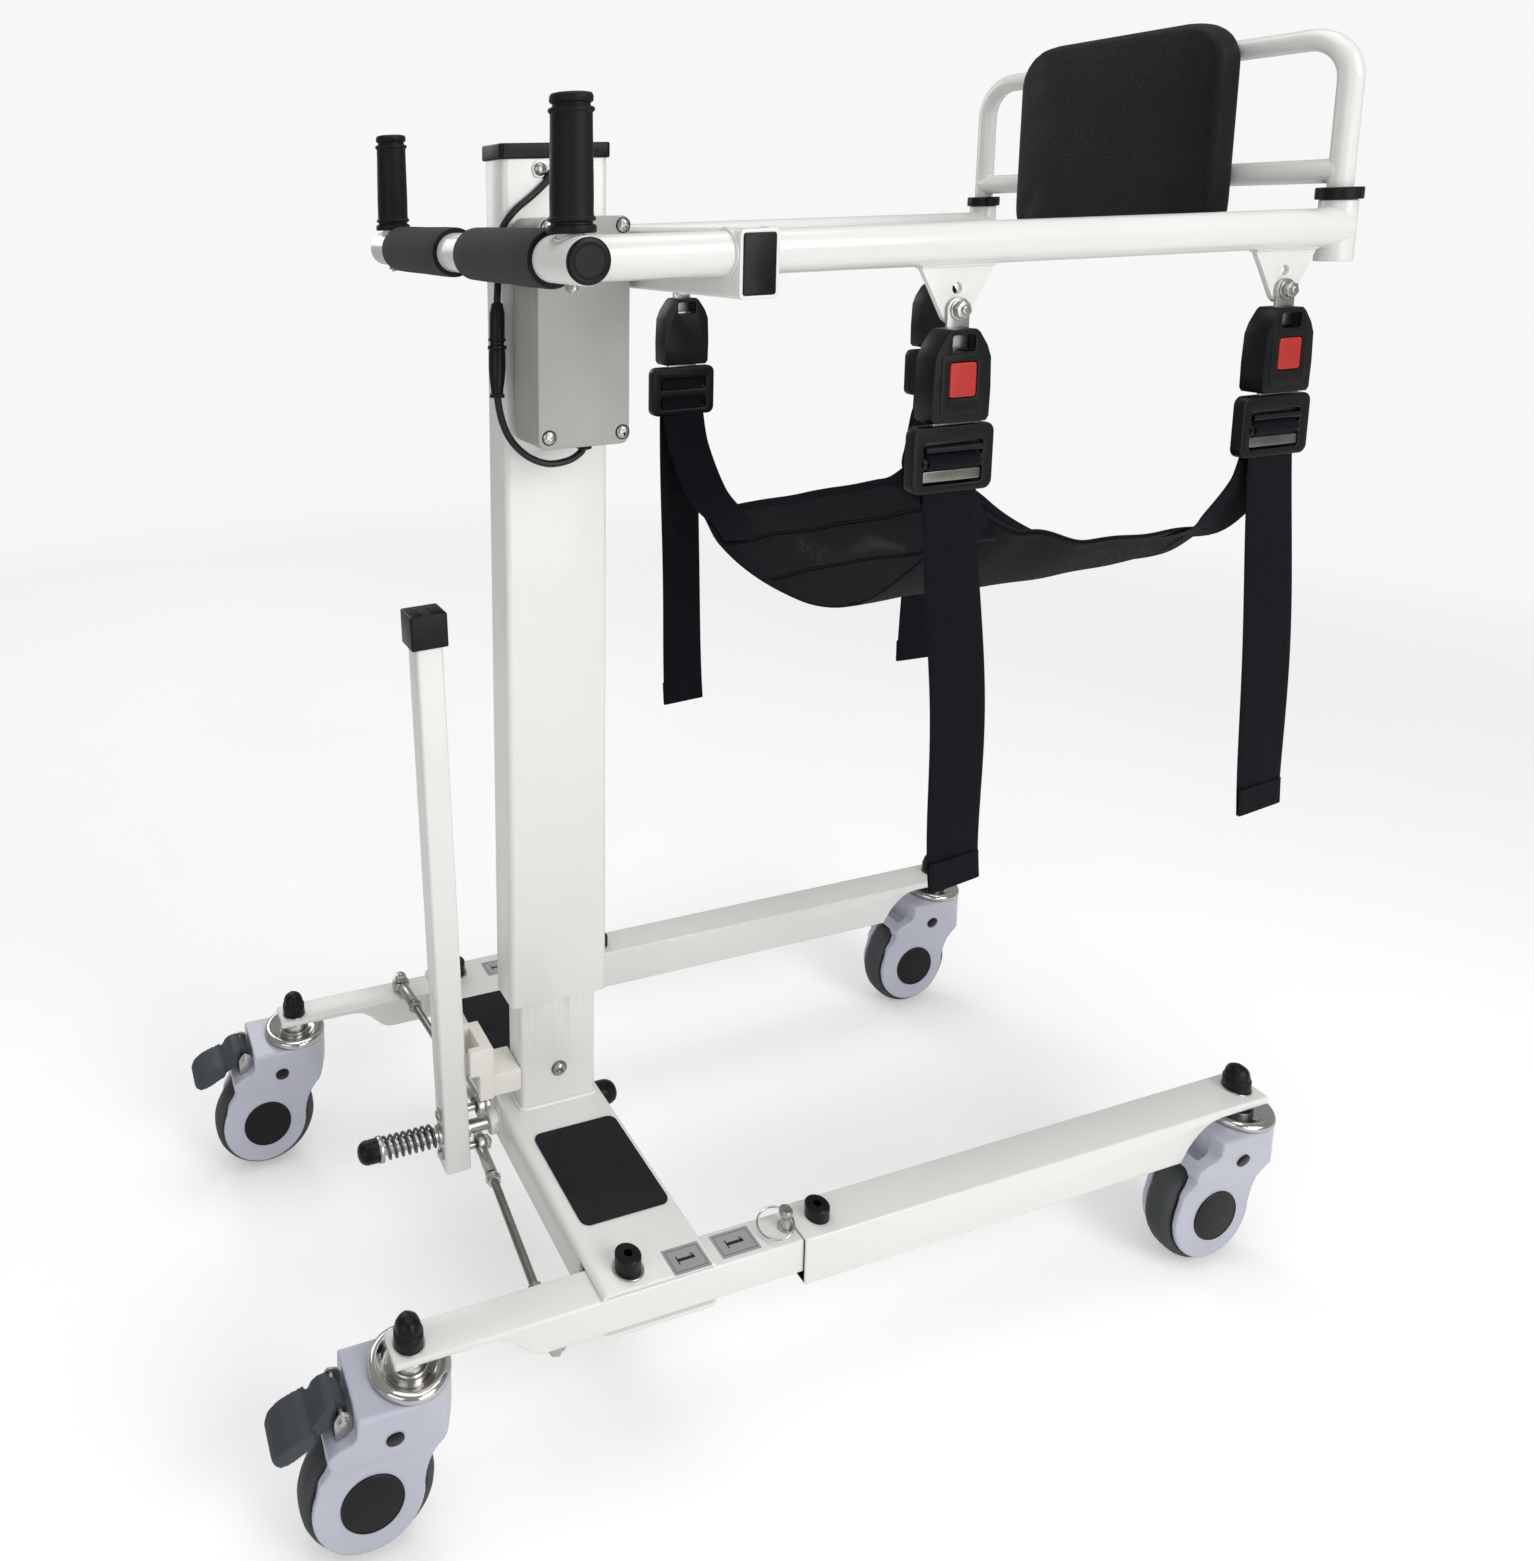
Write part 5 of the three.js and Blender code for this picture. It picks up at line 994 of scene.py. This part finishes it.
def hangers():
    for s, k in SIDES:
        for hx, e in zip(HANG, ("rear", "front")):
            n = e + "_" + s
            Y = k * 234
            yy = lambda a, c: (Y + a, Y + c) if k > 0 else (Y - c, Y - a)
            w, z0, z1 = 30.5, lo("buckle_" + n, 2), 1064
            out = [(hx - w + 3, z0), (hx + w - 3, z0), (hx + w, z0 + 4), (hx + w + 0.6, 1010), (hx + w - 0.6, 1038), (hx + w - 5, 1049), (hx + 17, 1061), (hx + 13, z1), (hx - 13, z1), (hx - 17, 1061), (hx - w + 5, 1049), (hx - w + 0.6, 1038), (hx - w - 0.6, 1010), (hx - w, z0 + 4)]
            b0, b1 = yy(-12, 12)
            wn = rrect(hx - 12.5, hx + 12.5, 1044, 1059, 2.5, 3)
            c0, c1 = yy(5.6, 14)
            f0, f1 = yy(10.4, 14)
            t0, t1 = yy(-2.4, 2.4)
            carve("buckle_shell_" + n, prism(out, "y", b0, b1), "black",
                  [prism(wn, "y", b0 - 3, b1 + 3), prism(rrect(hx - 15, hx + 15, 1002.5, 1035.5, 3.5, 4), "y", c0, c1), prism([(hx - 21, z0 - 3), (hx + 21, z0 - 3), (hx + 21, z0 + 24), (hx - 21, z0 + 24)], "y", t0, t1)],
                  "mast", 2.2, 3, reps="buckle_" + n, limit=40)
            # raised middle panel round the button
            q0, q1 = yy(11.4, 12.8)
            carve("buckle_face_" + n, prism(rrect(hx - 23, hx + 23, z0 + 7, 1042, 4, 4), "y", q0, q1), "black", [prism(rrect(hx - 15.2, hx + 15.2, 1002.3, 1035.7, 3.5, 4), "y", q0 - 3, q1 + 3)], "mast", 0.9, 2)
            v0, v1 = yy(8.4, 13.2)
            obj("button_" + n, prism(rrect(hx - 14.1, hx + 14.1, 1003.4, 1034.6, 3, 5), "y", v0, v1), "button", "release_button_" + n, 1.2, 3, reps="release_button_" + n)
            # strap plate and bolt
            p0, p1 = yy(0.7, 3.5)
            plate = [(hx - 12, 1046), (hx + 12, 1046), (hx + 12, 1082)] + [(hx + 12 * math.cos(a), 1082 + 10 * math.sin(a)) for a in [math.pi * i / 10 for i in range(1, 10)]] + [(hx - 12, 1082)]
            obj("strap_plate_" + n, prism(plate, "y", p0, p1), "steel", "mast", 0.6, 2)
            nut("hanger_nut_" + n, (hx, Y + k * 4.8, BOLT_Z), (0, k, 0), 8.2, 5.5, "mast", stud=3.9)
            nut("hanger_bolt_head_" + n, (hx, Y - k * 6.6, BOLT_Z), (0, -k, 0), 7.6, 4.6, "mast")
            obj("hanger_bolt_" + n, cyl((hx, Y - k * 9, BOLT_Z), (hx, Y + k * 9, BOLT_Z), 4, 24), "steel", "mast")
            # adjuster
            a0, a1 = yy(-6, 6)
            z2, z3 = lo("adjuster_" + n, 2), 977
            carve("adjuster_frame_" + n, prism(rrect(hx - 44, hx + 44, z2, z3, 9, 6), "y", a0, a1), "black",
                  [prism(rrect(hx - 32, hx + 32, 923, 938, 2, 2), "y", a0 - 3, a1 + 3), prism(rrect(hx - 32, hx + 32, 948, 962, 2, 2), "y", a0 - 3, a1 + 3)], "sling", 2.4, 3, reps="adjuster_" + n, limit=40)
            obj("adjuster_bar_" + n, [cyl((hx - 33, Y + k * 2, 943), (hx + 33, Y + k * 2, 943), 5.2, 24)], "black", "sling")
            g0, g1 = yy(1.8, 4.6)
            obj("adjuster_rib_" + n, prism(rrect(hx - 31.4, hx + 31.4, 925.4, 935.6, 1.4, 2), "y", g0, g1), "bronze", "sling", 0.7, 3)
            h0, h1 = yy(-3.4, 1.6)
            obj("adjuster_loop_" + n, prism(rrect(hx - 29.5, hx + 29.5, 923.4, 961.6, 1.5, 2), "y", h0, h1), "web", "sling", 1.0, 2)
            obj("adjuster_slider_" + n, [cyl((hx - 31, Y + k * 4.4, 955.5), (hx + 31, Y + k * 4.4, 955.5), 3.4, 20)], "black", "sling")
            u0, u1 = yy(-1.6, 1.6)
            obj("tongue_" + n, prism(rrect(hx - 20, hx + 20, 958, z0 + 17, 3, 3), "y", u0, u1), "steel", "sling", 0.5, 2)
            obj("tongue_yoke_" + n, prism(rrect(hx - 36, hx + 36, 959, 973, 3, 3), "y", yy(-2, 2)[0], yy(-2, 2)[1]), "dark_steel", "sling", 0.5, 2)


# ------------------------------------------------------------------ sling
def lerp_at(t, pts):
    for (a, p), (b, q) in zip(pts, pts[1:]):
        if t <= b:
            k = (t - a) / (b - a)
            k = k * k * (3 - 2 * k)
            return p + (q - p) * k
    return pts[-1][1]


def seat_pt(u, v):
    """u from the rear edge to the front one, v from the right side to the left one, both 0 to 1."""
    e = 2 * v - 1
    xr = lerp_at(v, [(0, 338), (0.18, 316), (0.5, 305), (0.85, 296), (1, 306)])
    xf = lerp_at(v, [(0, 640), (0.2, 668), (0.5, 690), (0.8, 676), (1, 650)])
    x = xr + (xf - xr) * u
    y = -207 + 410 * v
    near = lerp_at(u, [(0, 884), (0.25, 858), (0.5, 842), (0.8, 838), (1, 838)])
    far = lerp_at(u, [(0, 792), (0.2, 797), (0.5, 800), (0.8, 808), (1, 842)])
    mid = lerp_at(u, [(0, 739), (0.25, 745), (0.6, 748), (1, 757)])
    if e < 0:
        z = mid + (near - mid) * (-e) ** 2.35
    else:
        z = mid + (far - mid) * e ** 1.9
    z += 1.5 * math.sin(9 * u + 3 * v) * math.sin(7 * v + 2 * u) + 0.8 * math.sin(23 * u - 11 * v)
    return x, y, z


def sling():
    b = "sling"
    nu, nv = 56, 64
    V, F, UV = [], [], []
    lv = [0.0]
    for j in range(1, nv + 1):
        lv.append(lv[-1] + (Vector(seat_pt(0.5, j / nv)) - Vector(seat_pt(0.5, (j - 1) / nv))).length)
    for side in (1, -1):
        for i in range(nu + 1):
            for j in range(nv + 1):
                u, v = i / nu, j / nv
                p = Vector(seat_pt(u, v))
                du = Vector(seat_pt(min(1, u + 0.01), v)) - Vector(seat_pt(max(0, u - 0.01), v))
                dv = Vector(seat_pt(u, min(1, v + 0.01))) - Vector(seat_pt(u, max(0, v - 0.01)))
                N = du.cross(dv).normalized()
                V.append(tuple(p + N * side * 0.7))
                UV.append((p.x / MM, lv[j] / MM))
    K = (nu + 1) * (nv + 1)
    at = lambda i, j: i * (nv + 1) + j
    for i in range(nu):
        for j in range(nv):
            F.append((at(i, j), at(i + 1, j), at(i + 1, j + 1), at(i, j + 1)))
            F.append((K + at(i, j), K + at(i, j + 1), K + at(i + 1, j + 1), K + at(i + 1, j)))
    for i in range(nu):
        F.append((at(i, 0), K + at(i, 0), K + at(i + 1, 0), at(i + 1, 0)))
        F.append((at(i, nv), at(i + 1, nv), K + at(i + 1, nv), K + at(i, nv)))
    for j in range(nv):
        F.append((at(0, j), at(0, j + 1), K + at(0, j + 1), K + at(0, j)))
        F.append((at(nu, j), K + at(nu, j), K + at(nu, j + 1), at(nu, j + 1)))
    o = obj_uv("sling_panel", V, F, UV, "net", b)
    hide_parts("sling_seat")

    def along(f, n):
        return [f(i / n) for i in range(n + 1)]

    # bound edges and the two cross seams
    for nm, u in (("rear", 0.0), ("front", 1.0)):
        q = 0.016
        strip("sling_edge_" + nm, along(lambda t: seat_pt(u + (q if u < 0.5 else -q), t), 60), 17, 2.6, "web", b, across=(1, 0, 0))
    for nm, v in (("right", 0.0), ("left", 1.0)):
        q = 0.018
        strip("sling_edge_" + nm, along(lambda t: seat_pt(t, v + (q if v < 0.5 else -q)), 50), 20, 2.8, "web", b, across=(0, 1, 0.7 if v > 0.5 else -0.7))
    for nm, v in (("a", 0.16), ("b", 0.84), ("c", 0.36), ("d", 0.64)):
        pts = along(lambda t: seat_pt(0.02 + 0.96 * t, v), 48)
        obj("sling_seam_" + nm, sweep([(p[0], p[1], p[2] + 1.2) for p in pts], 1.1, 6), "web", b, smooth=80)
        pts = along(lambda t: seat_pt(0.02 + 0.96 * t, v + 0.012), 48)
        obj("sling_seam2_" + nm, sweep([(p[0], p[1], p[2] + 1.0) for p in pts], 0.7, 6), "web", b, smooth=80)
    # straps from the adjusters to the corners, and their hanging tails
    for s, k in SIDES:
        for hx, e in zip(HANG, ("rear", "front")):
            n = e + "_" + s
            Y = k * 234
            rear = e == "rear"
            u0 = 0.085 if rear else 0.915
            vv = 0.93 if k > 0 else 0.07
            c = Vector(seat_pt(u0, vv))
            c2 = Vector(seat_pt(u0, 0.84 if k > 0 else 0.16))
            up = [(hx, Y - k * 1.5, 951), (hx, Y + k * 3.5, 949), (hx, Y + k * 8.6, 943), (hx, Y + k * 3, 936.5), (hx, Y - k * 3, 931), (hx + (c.x - hx) * 0.02, Y - k * 4.5, 916),
                  (hx + (c.x - hx) * 0.22, Y - k * 7.5, 916 + (c.z - 916) * 0.34), (hx + (c.x - hx) * 0.62, Y + (c.y - Y) * 0.45, 916 + (c.z - 916) * 0.76), tuple(c + Vector((0, k * 1.5, 4))), tuple(c2 + Vector((0, 0, 2.4)))]
            strip("sling_strap_" + n, [tuple(p) for p in spline(up, 8)], 57, 1.9, "web", b, across=(1, 0, 0))
            d = 1 if rear else 1
            sway = {"rear_right": 35, "front_right": 34, "rear_left": 12, "front_left": -8}[n]
            end = {"rear_right": 519, "front_right": 528, "rear_left": 524, "front_left": 532}[n]
            P = []
            for i in range(41):
                t = i / 40
                z = 922.5 - (922.5 - end) * t
                yy_ = Y + k * 2.4 + k * (3.5 * math.sin(math.pi * t * 1.1))
                xx = hx + sway * (t ** 1.25) + (6.5 if n == "rear_right" else 2.2) * math.sin(2 * math.pi * (t * 1.05 - 0.22)) * t
                P.append((xx, yy_, z))
            strip("strap_tail_" + n, P, 58, 1.8, "web", b, across=lambda t, k=k: (1, k * 0.10 * math.sin(3.1 * t), 0))
            # folded and stitched end
            q = P[-4:]
            strip("tail_fold_" + n, [(p[0], p[1] + k * 1.9, p[2]) for p in q], 57.6, 1.8, "web", b, across=(1, 0, 0))


base()
lever()
legs()
casters()
mast()
backrest()
hangers()
sling()
for nm, mt in (("actuator_body", "steel"), ("actuator_rod", "chrome")):
    o = frame["nodes"][nm]
    o.data.materials.clear()
    o.data.materials.append(M[mt])

# ------------------------------------------------------------------ stage, light, camera
def studio():
    me = D.meshes.new("floor")
    R = 14.0
    me.from_pydata([(-R, -R, 0), (R, -R, 0), (R, R, 0), (-R, R, 0)], [], [(0, 1, 2, 3)])
    fl = D.objects.new("floor", me)
    SC.collection.objects.link(fl)
    m = Mat("pale_floor")
    m.l(m.ramp(m.noise(1.5, 3), [(0.3, (0.88, 0.88, 0.88)), (0.7, (0.91, 0.91, 0.91))]), m.p.inputs["Base Color"])
    m.set(Roughness=0.7, Specular_IOR_Level=0.1)
    # the floor is lifted a little for the eye of the camera only, and runs out into the same white as the walls
    geo = m.n("ShaderNodeNewGeometry")
    ln = m.n("ShaderNodeVectorMath", operation="LENGTH")
    m.l(geo.outputs["Position"], ln.inputs[0])
    far = m.map(ln.outputs["Value"], 1.3, 3.6, 0.0, 1.0)
    lp = m.n("ShaderNodeLightPath")
    lift = m.n("ShaderNodeEmission")
    lift.inputs[0].default_value = (1, 1, 1, 1)
    m.l(m.math("MULTIPLY", lp.outputs["Is Camera Ray"], 0.24), lift.inputs[1])
    add = m.n("ShaderNodeAddShader")
    m.l(m.p.outputs[0], add.inputs[0])
    m.l(lift.outputs[0], add.inputs[1])
    wall = m.n("ShaderNodeEmission")
    wall.inputs[0].default_value = (0.93, 0.93, 0.93, 1)
    mx = m.n("ShaderNodeMixShader")
    m.l(m.math("MULTIPLY", far, lp.outputs["Is Camera Ray"]), mx.inputs[0])
    m.l(add.outputs[0], mx.inputs[1])
    m.l(wall.outputs[0], mx.inputs[2])
    m.l(mx.outputs[0], m.out.inputs[0])
    me.materials.append(m.m)
    w = D.worlds.new("studio")
    w.use_nodes = True
    nt = w.node_tree
    bg = nt.nodes["Background"]
    bg.inputs[0].default_value = (1, 1, 1, 1)
    bg.inputs[1].default_value = 0.36
    lp = nt.nodes.new("ShaderNodeLightPath")
    bg2 = nt.nodes.new("ShaderNodeBackground")
    bg2.inputs[0].default_value = (0.93, 0.93, 0.93, 1)
    mw = nt.nodes.new("ShaderNodeMixShader")
    nt.links.new(lp.outputs["Is Camera Ray"], mw.inputs[0])
    nt.links.new(bg.outputs[0], mw.inputs[1])
    nt.links.new(bg2.outputs[0], mw.inputs[2])
    nt.links.new(mw.outputs[0], nt.nodes["World Output"].inputs[0])
    SC.world = w

    def area(name, loc, target, size, power, size_y=None):
        L = D.lights.new(name, "AREA")
        L.energy, L.size = power, size
        if size_y:
            L.shape, L.size_y = "RECTANGLE", size_y
        o = D.objects.new(name, L)
        SC.collection.objects.link(o)
        o.location = loc
        o.rotation_euler = (Vector(target) - Vector(loc)).to_track_quat("-Z", "Y").to_euler()

    area("key", (1.3, -2.7, 2.5), (0.1, 0, 0.7), 1.7, 40)
    area("fill", (-2.4, -1.8, 1.5), (0, 0, 0.6), 1.8, 12)
    area("top", (0.1, 0.1, 3.4), (0, 0, 0), 2.4, 34)
    area("rim", (-0.6, 2.8, 1.9), (0, 0, 0.8), 1.4, 14)
    area("low", (0.3, -2.0, 0.75), (0.0, -0.2, 0.12), 1.2, 9)
    SC.view_settings.view_transform = "Standard"
    SC.view_settings.look = "None"


def camera():
    yaw, pitch, roll = math.radians(YAW), math.radians(PITCH), math.radians(ROLL)
    f = Vector((math.sin(yaw) * math.cos(pitch), math.cos(yaw) * math.cos(pitch), -math.sin(pitch)))
    r = Vector((math.cos(yaw), -math.sin(yaw), 0))
    u = r.cross(f)
    r2 = r * math.cos(roll) + u * math.sin(roll)
    u2 = -r * math.sin(roll) + u * math.cos(roll)
    m = Matrix((r2, u2, -f)).transposed().to_4x4()
    loc = Vector(((CAM[0] + OX) / MM, CAM[1] / MM, CAM[2] / MM))
    m.translation = loc
    cam = D.cameras.new("camera")
    cam.sensor_width = 36
    cam.sensor_fit = "AUTO"
    cam.lens = FOCAL * 36 / 1561
    cam.clip_start = 0.05
    o = D.objects.new("camera", cam)
    SC.collection.objects.link(o)
    o.matrix_world = m
    # the lens is shifted only while the camera stands at its own place, so other views stay centred
    for prop, val in (("shift_x", SHIFT[0]), ("shift_y", SHIFT[1])):
        d = cam.driver_add(prop).driver
        d.type = "SCRIPTED"
        v = d.variables.new()
        v.name, v.type = "x", "TRANSFORMS"
        v.targets[0].id = o
        v.targets[0].transform_type = "LOC_X"
        v.targets[0].transform_space = "WORLD_SPACE"
        d.expression = "%.6f if abs(x - (%.6f)) < 0.0005 else 0.0" % (val, loc.x)
    SC.camera = o


YAW, PITCH, ROLL = 16.48069, 9.59200, -1.69096
CAM = (-502.26, -1114.70, 1180.33)
FOCAL = 1200.952
SHIFT = (0.244261, -0.233387)
studio()
camera()
